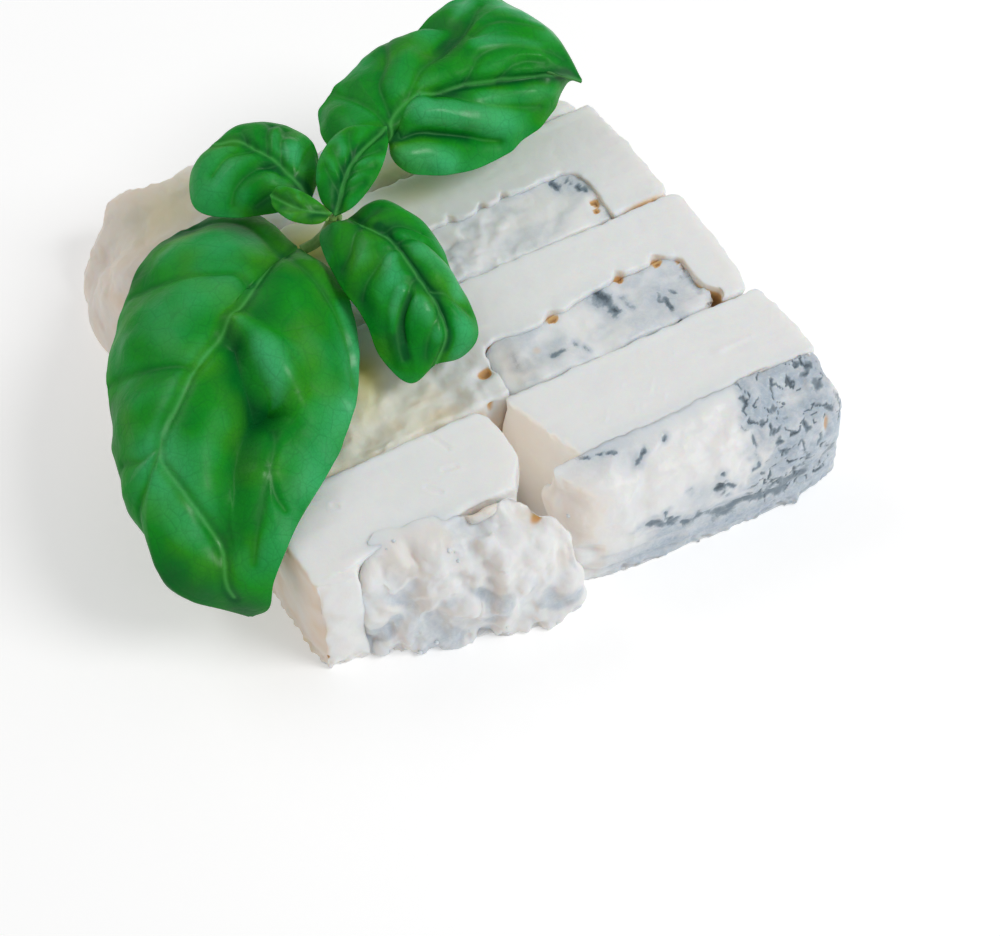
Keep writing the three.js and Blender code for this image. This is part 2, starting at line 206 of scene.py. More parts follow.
class Skin:
    """A finely meshed copy of a node, held as arrays in mm while it is being shaped."""

    def __init__(self, node, voxel, rounds):
        self.node = node
        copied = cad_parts[node].data.copy()
        merged = bmesh.new()
        merged.from_mesh(copied)
        bmesh.ops.remove_doubles(merged, verts=merged.verts, dist=MERGE_DISTANCE)
        merged.to_mesh(copied)
        merged.free()
        holder = bpy.data.objects.new(node + "_copy", copied)
        bpy.context.collection.objects.link(holder)
        wrap = holder.modifiers.new("skin", "REMESH")
        wrap.mode = "VOXEL"
        wrap.voxel_size = voxel * MM
        shown = holder.evaluated_get(bpy.context.evaluated_depsgraph_get())
        self.mesh = bpy.data.meshes.new_from_object(shown)
        bpy.data.objects.remove(holder)
        self.mesh.name = node + "_skin"
        self.mesh.materials.clear()
        count = len(self.mesh.vertices)
        flat = np.empty(count * 3, np.float32)
        self.mesh.vertices.foreach_get("co", flat)
        self.spots = flat.reshape(-1, 3).astype(float) / MM
        pairs = np.empty(len(self.mesh.edges) * 2, np.int32)
        self.mesh.edges.foreach_get("vertices", pairs)
        self.pairs = pairs.reshape(-1, 2)
        self.masks = {name: np.zeros(count) for name in MASKS}
        self.low, self.high = self.spots.min(0), self.spots.max(0)
        self.average(rounds)
        self.find_normals()

    def average(self, rounds):
        """Moves each point halfway to the middle of its neighbours, some rounds over."""
        first, second = self.pairs.T
        count = len(self.spots)
        degree = np.bincount(first, minlength=count) + np.bincount(second, minlength=count)
        foot = self.spots[:, 2] < FOOT_HEIGHT
        for _ in range(rounds):
            total = np.column_stack([
                np.bincount(first, self.spots[second, axis], count)
                + np.bincount(second, self.spots[first, axis], count)
                for axis in range(3)
            ])
            moved = 0.5 * self.spots + 0.5 * total / degree[:, None]
            moved[foot, 2] = self.spots[foot, 2]
            self.spots = moved

    def find_normals(self):
        """Writes the points to the mesh and reads its normals back."""
        self.mesh.vertices.foreach_set("co", (self.spots * MM).astype(np.float32).ravel())
        self.mesh.update()
        flat = np.empty(len(self.spots) * 3, np.float32)
        self.mesh.vertex_normals.foreach_get("vector", flat)
        self.normals = flat.reshape(-1, 3).astype(float)

    def push(self, amount):
        """Moves each point along its normal by its amount, and keeps the underside on the floor."""
        self.spots = self.spots + self.normals * np.asarray(amount)[:, None]
        self.spots[:, 2] = np.maximum(self.spots[:, 2], FLOOR_CLEARANCE)
        self.find_normals()

    def wall(self, direction):
        """Y of the front (-1) or back (1) wall beside each point, read from its middle heights."""
        level = (self.spots[:, 2] > WALL_HEIGHTS[0]) & (self.spots[:, 2] < WALL_HEIGHTS[1])
        bins = (self.spots[:, 0] - self.low[0]).astype(int).clip(0)
        reach = np.full(bins.max() + 2, -FAR_AWAY)
        np.maximum.at(reach, bins[level], direction * self.spots[level, 1])
        known = np.flatnonzero(reach > -FAR_AWAY)
        return direction * np.interp(self.spots[:, 0], self.low[0] + known + 0.5, reach[known])

    def crisp(self, sides, radius, end_fade=4.0):
        """Squares up the rounded long edges along the top. sides are (direction, Y, top Z)."""
        inner = ramp(self.spots[:, 0], self.low[0], self.low[0] + end_fade)
        inner *= ramp(self.spots[:, 0], self.high[0], self.high[0] - end_fade)
        for direction, side, top in sides:
            across = 1 - direction * (side - self.spots[:, 1]) / radius
            above = 1 - (top - self.spots[:, 2]) / radius
            at_edge = (across > 0) & (across < 1.2) & (above > 0) & (above < 1.3)
            a, b = np.clip(across, 1e-6, None), np.clip(above, 1e-6, None)
            stretch = np.hypot(a, b) / (a**EDGE_POWER + b**EDGE_POWER) ** (1 / EDGE_POWER)
            stretch = 1 + (np.minimum(stretch, 1.4) - 1) * inner
            self.spots[at_edge, 1] += (direction * radius * a * (stretch - 1))[at_edge]
            self.spots[at_edge, 2] += (radius * b * (stretch - 1))[at_edge]
        self.find_normals()

    def near(self, centre, radii):
        """1 at a spot, fading to 0 about one and a half radii away from it."""
        apart = (self.spots - np.array(centre)) / np.array(radii)
        return np.exp(-np.einsum("ij,ij->i", apart, apart))

    def stroke(self, path, warp=0.0, seed=0):
        """Distance in mm of each point from a path of spots, after a warp that makes it curl."""
        spots = self.spots
        if warp:
            sway = [noise(spots, 4.0, seed + 5 * axis, 2) for axis in range(3)]
            spots = spots + warp * np.column_stack(sway)
        nearest = np.full(len(spots), FAR_AWAY)
        for start, end in zip(path[:-1], path[1:]):
            start, run = np.array(start, float), np.array(end, float) - np.array(start, float)
            share = np.clip((spots - start) @ run / (run @ run), 0, 1)
            apart = spots - start - share[:, None] * run
            nearest = np.minimum(nearest, np.sqrt(np.einsum("ij,ij->i", apart, apart)))
        return nearest

    def paint_mask(self, mask, amount):
        """Deepens a mask to an amount where that is more than it has."""
        self.masks[mask] = np.clip(np.maximum(self.masks[mask], amount), 0, 1)

    def blots(self, mask, places):
        """Round patches of a mask: (centre, radii, amount) each."""
        for centre, radii, amount in places:
            self.paint_mask(mask, amount * self.near(centre, radii))

    def finish(self, material):
        """Turns the arrays into a named piece that stands for its node."""
        self.find_normals()
        for name, values in self.masks.items():
            layer = self.mesh.attributes.new(name, "FLOAT", "POINT")
            layer.data.foreach_set("value", values.astype(np.float32))
        self.mesh.shade_smooth()
        piece = bpy.data.objects.new(self.node + "_soft", self.mesh)
        bpy.context.collection.objects.link(piece)
        self.mesh.materials.append(material)
        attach(piece, "root")
        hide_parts(self.node)
        self.mesh.calc_loop_triangles()
        print(self.node, "triangles:", len(self.mesh.loop_triangles))


# %% [markdown]
# Materials are trees of nodes. A few helpers keep them short: one makes a node and sets its
# inputs, one mixes two colours by a mask. Effects that several finishes share are node groups.

# %% Node helpers
def add_node(tree, kind, settings=None, **inputs):
    """A new node with some properties and inputs set: in0, in1 and so on, or by their labels.

    An input may be a value or a socket.
    """
    made = tree.nodes.new(kind)
    for name, value in (settings or {}).items():
        setattr(made, name, value)
    for name, value in inputs.items():
        numbered = name.startswith("in")
        socket = made.inputs[int(name[2:]) if numbered else name.replace("_", " ")]
        if isinstance(value, bpy.types.NodeSocket):
            tree.links.new(value, socket)
        else:
            socket.default_value = value
    return made


def maths(tree, operation, first, second):
    made = add_node(tree, "ShaderNodeMath", {"operation": operation}, in0=first, in1=second)
    return made.outputs[0]


def blend_colour(tree, share, first, second):
    """first where share is 0, second where it is 1."""
    made = tree.nodes.new("ShaderNodeMix")
    made.data_type = "RGBA"
    for socket, value in ((made.inputs[0], share), (made.inputs[6], first), (made.inputs[7], second)):
        if isinstance(value, bpy.types.NodeSocket):
            tree.links.new(value, socket)
        else:
            socket.default_value = value if isinstance(value, float) else (*value, 1.0)
    return made.outputs[2]


def fitted(tree, value, low, high, to_low=0.0, to_high=1.0):
    """A value carried from one range to another and held at its ends."""
    made = add_node(
        tree, "ShaderNodeMapRange", {"interpolation_type": "SMOOTHSTEP"},
        in0=value, in1=low, in2=high, in3=to_low, in4=to_high,
    )
    return made.outputs[0]


def new_group(name, inputs, outputs):
    """An empty shader node group with named sockets, and its inner input and output nodes."""
    tree = bpy.data.node_groups.new(name, "ShaderNodeTree")
    for label, kind, start in inputs:
        socket = tree.interface.new_socket(label, in_out="INPUT", socket_type=kind)
        if start is not None:
            socket.default_value = start
    for label, kind in outputs:
        tree.interface.new_socket(label, in_out="OUTPUT", socket_type=kind)
    return tree, tree.nodes.new("NodeGroupInput"), tree.nodes.new("NodeGroupOutput")


def use_group(tree, group, **inputs):
    return add_node(tree, "ShaderNodeGroup", {"node_tree": group}, **inputs)


def new_material(name):
    material = bpy.data.materials.new(name)
    material.use_nodes = True
    tree = material.node_tree
    return material, tree, tree.nodes["Principled BSDF"]


def attribute(tree, name):
    made = add_node(tree, "ShaderNodeAttribute", {"attribute_name": name})
    return made.outputs["Fac"]


# %% [markdown]
# Soft cheese is never one colour: moisture and fat give it faint clouds, and its cut face has a
# fine curd grain. Both cheeses, the crumbs and the stalks have this, so it is one group. It
# puts out clouds between 0 and 1 and a height in metres for a Bump node.

# %% Shared finish: clouds and curd grain
grain_group, grain_in, grain_out = new_group(
    "curd_grain",
    [("Position", "NodeSocketVector", None), ("Cloud Size", "NodeSocketFloat", 9.0),
     ("Grain Size", "NodeSocketFloat", 0.7), ("Grain Height", "NodeSocketFloat", 0.05)],
    [("Clouds", "NodeSocketFloat"), ("Height", "NodeSocketFloat")],
)
PER_METRE = 1000.0
cloud_scale = maths(grain_group, "DIVIDE", PER_METRE, grain_in.outputs["Cloud Size"])
clouds = add_node(
    grain_group, "ShaderNodeTexNoise", Vector=grain_in.outputs["Position"], Scale=cloud_scale,
    Detail=4.0, Roughness=0.55, Distortion=0.6,
)
grain_scale = maths(grain_group, "DIVIDE", PER_METRE, grain_in.outputs["Grain Size"])
grain = add_node(
    grain_group, "ShaderNodeTexNoise", Vector=grain_in.outputs["Position"], Scale=grain_scale,
    Detail=3.0, Roughness=0.6,
)
grain_height = maths(grain_group, "MULTIPLY", grain.outputs[0], grain_in.outputs["Grain Height"])
grain_group.links.new(fitted(grain_group, clouds.outputs[0], 0.3, 0.7), grain_out.inputs["Clouds"])
grain_group.links.new(maths(grain_group, "MULTIPLY", grain_height, MM), grain_out.inputs["Height"])

# %% [markdown]
# Shade is painted into the cheese's colour. Hidden and shaded cheese is given a warmer colour
# than its lit top, and the cracks between the pieces a deep orange brown, as painted shade.
# Masks painted on the mesh say where; this group turns them into colour. Where light has come
# through a basil leaf first, the cheese below it is painted yellow green, as painted light.

# %% Shared finish: stains of a cut cheese
shade_tint_group, shade_tint_in, shade_tint_out = new_group(
    "cheese_painted_shade_and_tint",
    [("Colour", "NodeSocketColor", (0.9, 0.9, 0.9, 1.0)), ("Warm", "NodeSocketFloat", 0.0),
     ("Hollow", "NodeSocketFloat", 0.0), ("Leafy", "NodeSocketFloat", 0.0),
     ("Clouds", "NodeSocketFloat", 0.5)],
    [("Colour", "NodeSocketColor")],
)
# Painted shade: warm on shaded faces, orange brown in cracks. Painted light: yellow green under leaves.
WARM_TINT_AND_SHADE = (0.80, 0.62, 0.45)
RECESS_SHADE_EDGE = (0.72, 0.42, 0.17)
RECESS_SHADE_DEEP = (0.30, 0.13, 0.04)
LEAF_LIT = (0.66, 0.60, 0.12)
uneven = fitted(shade_tint_group, shade_tint_in.outputs["Clouds"], 0.0, 1.0, 0.75, 1.15)
warmed = maths(shade_tint_group, "MULTIPLY", shade_tint_in.outputs["Warm"], uneven)
shaded_colour = blend_colour(shade_tint_group, warmed, shade_tint_in.outputs["Colour"], WARM_TINT_AND_SHADE)
shaded_colour = blend_colour(shade_tint_group, shade_tint_in.outputs["Leafy"], shaded_colour, LEAF_LIT)
edge_share = fitted(shade_tint_group, shade_tint_in.outputs["Hollow"], 0.05, 0.5)
shaded_colour = blend_colour(shade_tint_group, edge_share, shaded_colour, RECESS_SHADE_EDGE)
deep_share = fitted(shade_tint_group, shade_tint_in.outputs["Hollow"], 0.5, 1.0)
shaded_colour = blend_colour(shade_tint_group, deep_share, shaded_colour, RECESS_SHADE_DEEP)
shade_tint_group.links.new(shaded_colour, shade_tint_out.inputs["Colour"])
print("shared groups:", [group.name for group in (grain_group, shade_tint_group)])

# %% [markdown]
# Mascarpone is a dense, milky fresh cheese with a satin surface. Light enters it and comes out
# a little further on, so it gets some subsurface scattering, warmer in its red radius. A broken
# end turned away from the light is given a faint painted glow, an emitted colour that stands in
# for light come through the bar. A mask says where.

# %% Mascarpone finish
# The painted glow: an emitted colour that stands in for light come through the cheese.
PAINTED_LIGHT_THROUGH = (0.195, 0.160, 0.124)


def cheese_shader(name, milky, shade, roughness):
    """The part that both cheeses share. Gives the material, its tree, shader and colour socket."""
    material, tree, shader = new_material(name)
    shader.inputs["Subsurface Weight"].default_value = 0.5
    shader.inputs["Subsurface Radius"].default_value = (1.0, 0.62, 0.38)
    shader.inputs["Subsurface Scale"].default_value = 0.004
    shader.inputs["Specular IOR Level"].default_value = 0.38
    place = add_node(tree, "ShaderNodeTexCoord").outputs["Object"]
    curd = use_group(tree, grain_group, Position=place, Cloud_Size=9.0, Grain_Size=0.8, Grain_Height=0.07)
    colour = blend_colour(tree, curd.outputs["Clouds"], shade, milky)
    rough = fitted(tree, curd.outputs["Clouds"], 0.0, 1.0, roughness + 0.1, roughness - 0.08)
    tree.links.new(rough, shader.inputs["Roughness"])
    bump = add_node(tree, "ShaderNodeBump", Height=curd.outputs["Height"], Strength=1.0, Distance=1.0)
    tree.links.new(bump.outputs[0], shader.inputs["Normal"])
    return material, tree, shader, curd, colour


def paint_shade_and_link(tree, shader, curd, colour):
    """The painted shade and tint over a cheese's own colour, and the painted glow."""
    shade_and_tint = use_group(
        tree, shade_tint_group, Colour=colour, Warm=attribute(tree, "warm"),
        Hollow=attribute(tree, "recess_shade"), Leafy=attribute(tree, "leafy"),
        Clouds=curd.outputs["Clouds"],
    )
    tree.links.new(shade_and_tint.outputs[0], shader.inputs["Base Color"])
    glow = blend_colour(tree, attribute(tree, "glow"), (0.0, 0.0, 0.0), PAINTED_LIGHT_THROUGH)
    tree.links.new(glow, shader.inputs["Emission Color"])
    shader.inputs["Emission Strength"].default_value = 1.0


mascarpone, tree, shader, curd, colour = cheese_shader(
    "mascarpone", (0.885, 0.892, 0.885), (0.855, 0.867, 0.862), 0.5
)
paint_shade_and_link(tree, shader, curd, colour)

# %% [markdown]
# Gorgonzola is paler and bluer, and mould grows in it as clouds of blue grey with darker,
# curling lines. The lines are placed on the mesh, where they can also be pressed in; the
# material adds the fine break-up that a half millimetre mesh can't hold. The same blue grey is
# also painted low on the torn fronts and in the creases of their lumps, as painted shade.

# %% Gorgonzola finish
# Blue grey of the mould, also painted low on the torn fronts as shade.
BLUE_MOULD_AND_SHADE = (0.38, 0.47, 0.56)
VEIN_GREY = (0.24, 0.30, 0.35)
VEIN_DARK = (0.06, 0.085, 0.11)


def gorgonzola_colour(tree, curd, colour):
    """Clouds of blue grey, which are mould and painted shade, with darker curling lines, by the blue and vein
    masks.
    """
    place = add_node(tree, "ShaderNodeTexCoord").outputs["Object"]
    speck = add_node(
        tree, "ShaderNodeTexNoise", Vector=place, Scale=900.0, Detail=5.0, Roughness=0.7, Distortion=0.8
    ).outputs[0]
    blue_mould_and_shade = attribute(tree, "blue_mould_and_shade")
    field = maths(tree, "MULTIPLY", blue_mould_and_shade, fitted(tree, speck, 0.25, 0.7, 0.55, 0.95))
    colour = blend_colour(tree, field, colour, BLUE_MOULD_AND_SHADE)
    vein = attribute(tree, "vein")
    broken = maths(tree, "ADD", vein, maths(tree, "MULTIPLY", maths(tree, "SUBTRACT", speck, 0.5), 0.6))
    grey_share = maths(tree, "MULTIPLY", fitted(tree, broken, 0.2, 0.7), fitted(tree, vein, 0.03, 0.2))
    colour = blend_colour(tree, grey_share, colour, VEIN_GREY)
    dark_share = maths(tree, "MULTIPLY", fitted(tree, broken, 0.65, 1.1), fitted(tree, vein, 0.2, 0.5))
    return blend_colour(tree, dark_share, colour, VEIN_DARK)


gorgonzola, tree, shader, curd, colour = cheese_shader(
    "gorgonzola", (0.875, 0.88, 0.87), (0.835, 0.845, 0.85), 0.42
)
paint_shade_and_link(tree, shader, curd, gorgonzola_colour(tree, curd, colour))

# %% [markdown]
# The floor is matt and nearly white. It gives out a little light of its own, so that it stays
# pale where the window's light thins out, and only a soft shadow shows beside the cheese.

# %% Floor finish
pale, tree, shader = new_material("pale_floor")
shader.inputs["Base Color"].default_value = (0.93, 0.93, 0.93, 1.0)
shader.inputs["Roughness"].default_value = 0.9
shader.inputs["Specular IOR Level"].default_value = 0.1
shader.inputs["Emission Color"].default_value = (1.0, 1.0, 1.0, 1.0)
shader.inputs["Emission Strength"].default_value = 0.25
floor.data.materials.append(pale)

# %% [markdown]
# The front of the slab is broken in two. Each half is a bar of mascarpone with its stripe of
# gorgonzola along the front, and the two cheeses grow together, with no crack between them. So
# the rounded edges that the solids have along that seam are squared up on both sides, and the
# stripe's back is moved on by the width of the gap.

# %% Shaping steps that several pieces share
COARSE, FINE = 0.5, 0.4
BAR_TOP = 28.0
HALF_GAP = 0.15
FRONT_CUT, MIDDLE_CUT, BACK_CUT = -25.0, 5.0, 35.5
SEAM, SEAM_TOP = -44.7, 27.9
CUT_EDGE = 3.2
LAYER_EDGE = 4.5
VEIN_SPREAD = 1.6
VEIN_PRESS = 0.25
CRACK_DEPTH = 2.5
CRACK_SHADE = 0.6


def satin_top(skin, seed):
    """The faint waves and knife drags of a cut top, and softer lumps on the other faces."""
    facing_up = ramp(skin.normals[:, 2], 0.75, 0.97)
    waves = 0.10 * noise(skin.spots, (26, 9, 20), seed, 2)
    drags = 0.05 * noise(skin.spots, (7, 1.1, 8), seed + 3, 2)
    sides = 0.30 * noise(skin.spots, 7.0, seed + 7, 3)
    skin.push(facing_up * (waves + drags) + (1 - facing_up) * sides)


def ragged_edge(skin, amount, seed):
    """Nicks and drawn-out crumbs along the edge between the top and the sides."""
    edge = bell(skin.normals[:, 2] - 0.6, 0.3)
    skin.push(edge * amount * noise(skin.spots, 2.6, seed, 3))


def warm_sides(skin, left=0.0, low=0.0, seed=0):
    """Painted shade: faces turned to the left, and faces near the floor, are given a warmer colour."""
    cloud = 0.85 + 0.3 * noise(skin.spots, 9.0, seed + 50, 2)
    turned_left = ramp(-skin.normals[:, 0], 0.25, 0.85) * cloud
    skin.paint_mask("warm", left * turned_left)
    height = ramp(skin.spots[:, 2], 24.0, 4.0) * ramp(skin.normals[:, 2], 0.6, 0.2)
    skin.paint_mask("warm", low * height * cloud)


def shade_cracks(skin, planes):
    """Paints orange brown shade on cheese seen down a crack between two pieces. planes are Y of the cuts."""
    below = ramp(skin.spots[:, 2], skin.high[2] - 0.8, skin.high[2] - CRACK_DEPTH)
    wander = 0.6 + 0.6 * noise(skin.spots, (9.0, 4.0, 9.0), 49, 2)
    for plane in planes:
        at_cut = ramp(np.abs(skin.spots[:, 1] - plane), 1.0, 0.3)
        skin.paint_mask("recess_shade", CRACK_SHADE * wander.clip(0, 1) * at_cut * below)


def pits(skin, places, painted_shade=1.0):
    """Hollows pressed into the surface: (centre, radii, depth) each, painted orange brown inside as shade."""
    for centre, radii, depth in places:
        share = skin.near(centre, radii)
        skin.paint_mask("recess_shade", painted_shade * ramp(share, 0.25, 0.8))
        skin.push(-depth * share)


def veins(skin, strokes, seed):
    """Mould lines: (path, half width, strength, warp) each, pressed in a little."""
    for number, (path, width, strength, warp) in enumerate(strokes):
        away = skin.stroke(path, warp, seed + 17 * number)
        ragged = VEIN_SPREAD * width * (1 + 0.45 * noise(skin.spots, 1.6, seed + number, 2))
        line = strength * ramp(away, 1.9 * ragged, 0.35 * ragged)
        skin.paint_mask("vein", line)
        skin.paint_mask("blue_mould_and_shade", 0.75 * ramp(away, 6.0 * width, width))
    skin.push(-VEIN_PRESS * ramp(skin.masks["vein"], 0.3, 0.9))


def curds(spots, size, seed):
    """Rounded lumps with creases between them, about 0 to 1: the fold of a warped noise."""
    sway = 0.3 * size * np.column_stack([noise(spots, size, seed + axis, 2) for axis in range(3)])
    return np.abs(noise(spots + sway, size, seed + 9, 1)) ** 0.7


def join_seam(skin, top, lap, sway, seed):
    """Carries a front stripe's back edge up to the bar's top and laps it over in soft tongues.

    lap is the reach over the seam in mm, or a list of (X, reach).
    """
    near_seam = ramp(skin.spots[:, 1], SEAM - 5.0, SEAM - 0.8)
    skin.spots[:, 2] += (top - skin.spots[:, 2]) * near_seam * ramp(skin.spots[:, 2], 20.0, 25.5)
    flat = skin.spots * (1, 0, 0)
    if not isinstance(lap, float):
        lap = np.interp(skin.spots[:, 0], *zip(*lap))
    tongue = lap + sway * (noise(flat, 5.5, seed, 2) + 0.4 * noise(flat, 1.7, seed + 1, 2))
    at_top = ramp(skin.spots[:, 2], top - 3.0, top - 1.0)
    at_back = ramp(skin.spots[:, 1], SEAM - 3.5, SEAM - 0.2)
    skin.spots[:, 1] += at_back * (0.75 + (tongue - 0.75) * at_top)
    thickness = 0.3 * ramp(tongue, -0.2, 0.5) + 0.6 * ramp(tongue, 0.5, 2.2)
    skin.spots[:, 2] += at_back * at_top * thickness
    skin.find_normals()


def smeared(skin, area, height, size, seed):
    """Creamy knife-dragged lumps: broad swellings with a few soft ridges along their edges."""
    sway = np.column_stack([noise(skin.spots, size, seed + axis, 1) for axis in range(3)])
    spots = skin.spots + 0.35 * size * sway
    broad = noise(spots, size, seed + 5, 2)
    ridged = 1 - np.abs(noise(spots, 0.75 * size, seed + 7, 1)) ** 0.8
    fine = noise(skin.spots, 1.8, seed + 9, 2)
    skin.push(area * height * (broad + 0.55 * (ridged - 0.75) + 0.10 * fine))
    return ridged


def vein_net(skin, region, size, width, strength, seed):
    """A net of curling lines inside a region mask: the edges where warped noise crosses zero."""
    sway = np.column_stack([noise(skin.spots, size * 0.8, seed + axis, 2) for axis in range(3)])
    folded = np.abs(noise(skin.spots + 0.35 * size * sway, size, seed + 9, 2))
    thick = width * (0.7 + 0.5 * noise(skin.spots, size, seed + 21, 1))
    skin.paint_mask("vein", strength * region * ramp(folded, thick, 0.25 * thick))


# %% [markdown]
# The left half of the front has a smooth cut top and a rounded right end. At its left the
# mascarpone wraps round the end of the layer, and its front there is rough.

# %% Front left: mascarpone
skin = Skin("mascarpone_front_left", FINE, 10)
skin.crisp([(1, FRONT_CUT - HALF_GAP, BAR_TOP)], CUT_EDGE)
skin.crisp([(-1, SEAM + HALF_GAP, BAR_TOP)], CUT_EDGE, end_fade=13.0)
satin_top(skin, 10)
ragged_edge(skin, 0.35, 12)
skin.spots[:, 0] -= 3.4 * ramp(skin.spots[:, 1], -37.0, -44.7) * ramp(skin.spots[:, 0], -17.0, -8.0)
wrap = ramp(-skin.normals[:, 1], 0.3, 0.8) * ramp(skin.spots[:, 0], -45.5, -48.0)
skin.push(wrap * (0.5 + 0.7 * noise(skin.spots, 7.0, 14, 2)))
corner = skin.near((-57.5, -49.5, 18.0), (4.5, 4.5, 16.0))
skin.push(-2.0 * corner - 1.2 * skin.near((-52.0, -49.0, 28.0), (9.0, 2.5, 3.0)))
skin.average(3)
skin.find_normals()
for nick in ([(-20.6, -26.4, 28), (-18.8, -30.4, 28)], [(-26.8, -36.4, 28), (-24.9, -38.6, 28)],
             [(-22.0, -34.5, 28), (-19.5, -35.0, 28)], [(-44.3, -31.6, 28), (-43.8, -32.2, 28)]):
    beside = skin.stroke(nick)
    skin.push(0.12 * bell(beside - 0.9, 0.5) - 0.24 * bell(beside, 0.5))
foot = ramp(skin.spots[:, 2], 5.0, 0.5) * ramp(skin.normals[:, 2], 0.5, 0.2)
skin.push(foot * 0.8 * noise(skin.spots, 2.2, 16, 3))
# Painted shade: warmer on the left end and near the floor, in the notch at the seam and the cracks.
warm_sides(skin, left=0.8, low=0.06, seed=1)
pits(skin, [((-55.5, -48.5, 4.0), (0.7, 0.7, 0.7), 0.6)], painted_shade=0.7)
pits(skin, [((-7.6, -25.4, 27.5), (1.4, 1.0, 3.0), 1.4)])
pits(skin, [((-20.0, -45.2, 27.8), (3.6, 1.3, 2.2), 1.2)], painted_shade=0.0)
skin.paint_mask("warm", 0.9 * ramp(skin.near((-20.0, -45.6, 27.0), (3.8, 1.3, 3.0)), 0.25, 0.7))
shade_cracks(skin, [FRONT_CUT - HALF_GAP])
skin.finish(mascarpone)

# %% [markdown]
# Its stripe was torn, not cut. The crumbly cheese has been dragged into creamy lumps a few
# millimetres wide with soft ridges, laps over the mascarpone in tongues, and ends in flakes.

# %% Front left: gorgonzola
TONGUES = [(-49, 1.2), (-45, 2.6), (-40, 3.0), (-35, 2.4), (-30, 1.6), (-26, 0.2), (-22, -0.7), (-10, 0.2)]
LUMPS = [
    ((-20.5, -56.0, 21.0), (1.6, 4.0, 6.0), 1.5), ((-27.5, -58.0, 12.0), (5.5, 4.0, 3.2), 1.4),
    ((-12.0, -53.0, 22.0), (3.5, 4.5, 3.5), 1.1), ((-33.0, -49.0, 27.0), (4.0, 3.0, 3.0), 0.8),
    ((-44.0, -47.0, 26.5), (2.6, 2.2, 3.0), 1.0), ((-6.0, -57.0, 10.0), (3.0, 4.0, 6.0), 0.9),
    ((-38.5, -54.0, 16.0), (3.0, 4.0, 6.0), -1.0), ((-23.5, -58.0, 7.0), (1.6, 4.0, 4.0), -1.2),
]
skin = Skin("gorgonzola_front_left", FINE, 8)
skin.crisp([(1, skin.wall(1), 26.5)], LAYER_EDGE)
join_seam(skin, SEAM_TOP, lap=TONGUES, sway=0.9, seed=60)
skin.spots[:, 0] -= 1.4 * ramp(skin.spots[:, 0], -42.5, -46.0)
front_facing = ramp(-skin.normals[:, 1], 0.1, 0.6)
away_from_seam = ramp(skin.spots[:, 1], SEAM - 0.2, SEAM - 3.0)
slant = skin.spots.copy()
slant[:, 0] += 0.35 * (skin.spots[:, 2] - 27.0)
ridged = smeared(skin, 0.3 + 0.7 * away_from_seam, 1.6, 9.5, 61)
folds = noise(slant, (5.0, 6.0, 11.0), 66, 2)
skin.push(away_from_seam * (0.6 * folds + 0.55 * (curds(skin.spots, 6.0, 63) - 0.45)))
for centre, radii, height in LUMPS:
    skin.push(height * skin.near(centre, radii))
foot = ramp(skin.spots[:, 2], 6.0, 0.8) * ramp(skin.normals[:, 2], 0.7, 0.3)
skin.push(foot * front_facing * 1.5 * noise(skin.spots * (1, 1, 0.35), 4.0, 65, 2))
middle_flake = skin.near((-22.8, -61.0, 2.0), (1.8, 3.0, 3.5))
left_flake = skin.near((-44.5, -50.5, 2.5), (2.4, 3.0, 4.5))
skin.push(2.6 * middle_flake + 1.8 * left_flake)
skin.average(1)
skin.find_normals()
small_curds = curds(skin.spots, 2.8, 59) - 0.45
skin.push(away_from_seam * (0.16 * noise(skin.spots, 2.4, 58, 2) + 0.22 * small_curds))
warm_sides(skin, left=0.3, low=0.0, seed=2)
# Painted shade: blue grey low on the front, in the creases between the lumps and near the foot.
low_front_shade = front_facing * ramp(skin.spots[:, 2] + 2.5 * noise(skin.spots, 8.0, 68, 2), 20.0, 6.0)
skin.paint_mask("blue_mould_and_shade", 0.16 * low_front_shade)
skin.paint_mask("blue_mould_and_shade", 0.65 * front_facing * ramp(ridged, 0.75, 0.45) * ramp(skin.spots[:, 2], 27.0, 12.0))
skin.blots("blue_mould_and_shade", [
    ((-36.5, -56.0, 7.0), (8.0, 7.0, 7.0), 0.6), ((-38.5, -56.0, 14.0), (3.5, 7.0, 8.0), 0.55),
    ((-25.0, -49.0, 27.0), (7.0, 4.0, 4.0), 0.35),
])
skin.paint_mask("warm", 0.2 * ramp(noise(skin.spots, 11.0, 69, 2), 0.0, 0.6) * ramp(skin.spots[:, 2], 8.0, 16.0))
# Painted warm shade in the notch at the seam.
skin.paint_mask("warm", 0.7 * ramp(skin.near((-20.0, -45.6, 27.5), (4.2, 1.5, 3.0)), 0.25, 0.7))
veins(skin, [
    ([(-41.0, -51.0, 27.0), (-39.0, -53.0, 25.5)], 0.55, 0.75, 1.2),
    ([(-42.0, -54.0, 22.0), (-40.0, -55.0, 17.0), (-37.5, -57.0, 10.0)], 0.28, 0.8, 1.2),
    ([(-43.5, -53.0, 13.0), (-42.0, -54.0, 12.0)], 0.5, 0.7, 1.0),
    ([(-25.5, -48.5, 27.5), (-23.5, -48.0, 27.5)], 0.55, 0.55, 1.4),
], 66)
pits(skin, [((-20.0, -46.6, 28.0), (3.2, 0.8, 2.5), 1.0)], painted_shade=0.0)
pits(skin, [((-11.0, -50.5, 27.0), (1.8, 1.8, 4.0), 1.3)], painted_shade=0.55)
skin.finish(gorgonzola)

# %% [markdown]
# The right half is the best cut piece. Where the bar was broken its end is hollowed and smooth,
# its pinkish beige painted shade with a painted glow, and its top carries the faint slanting
# nicks of a wet blade.

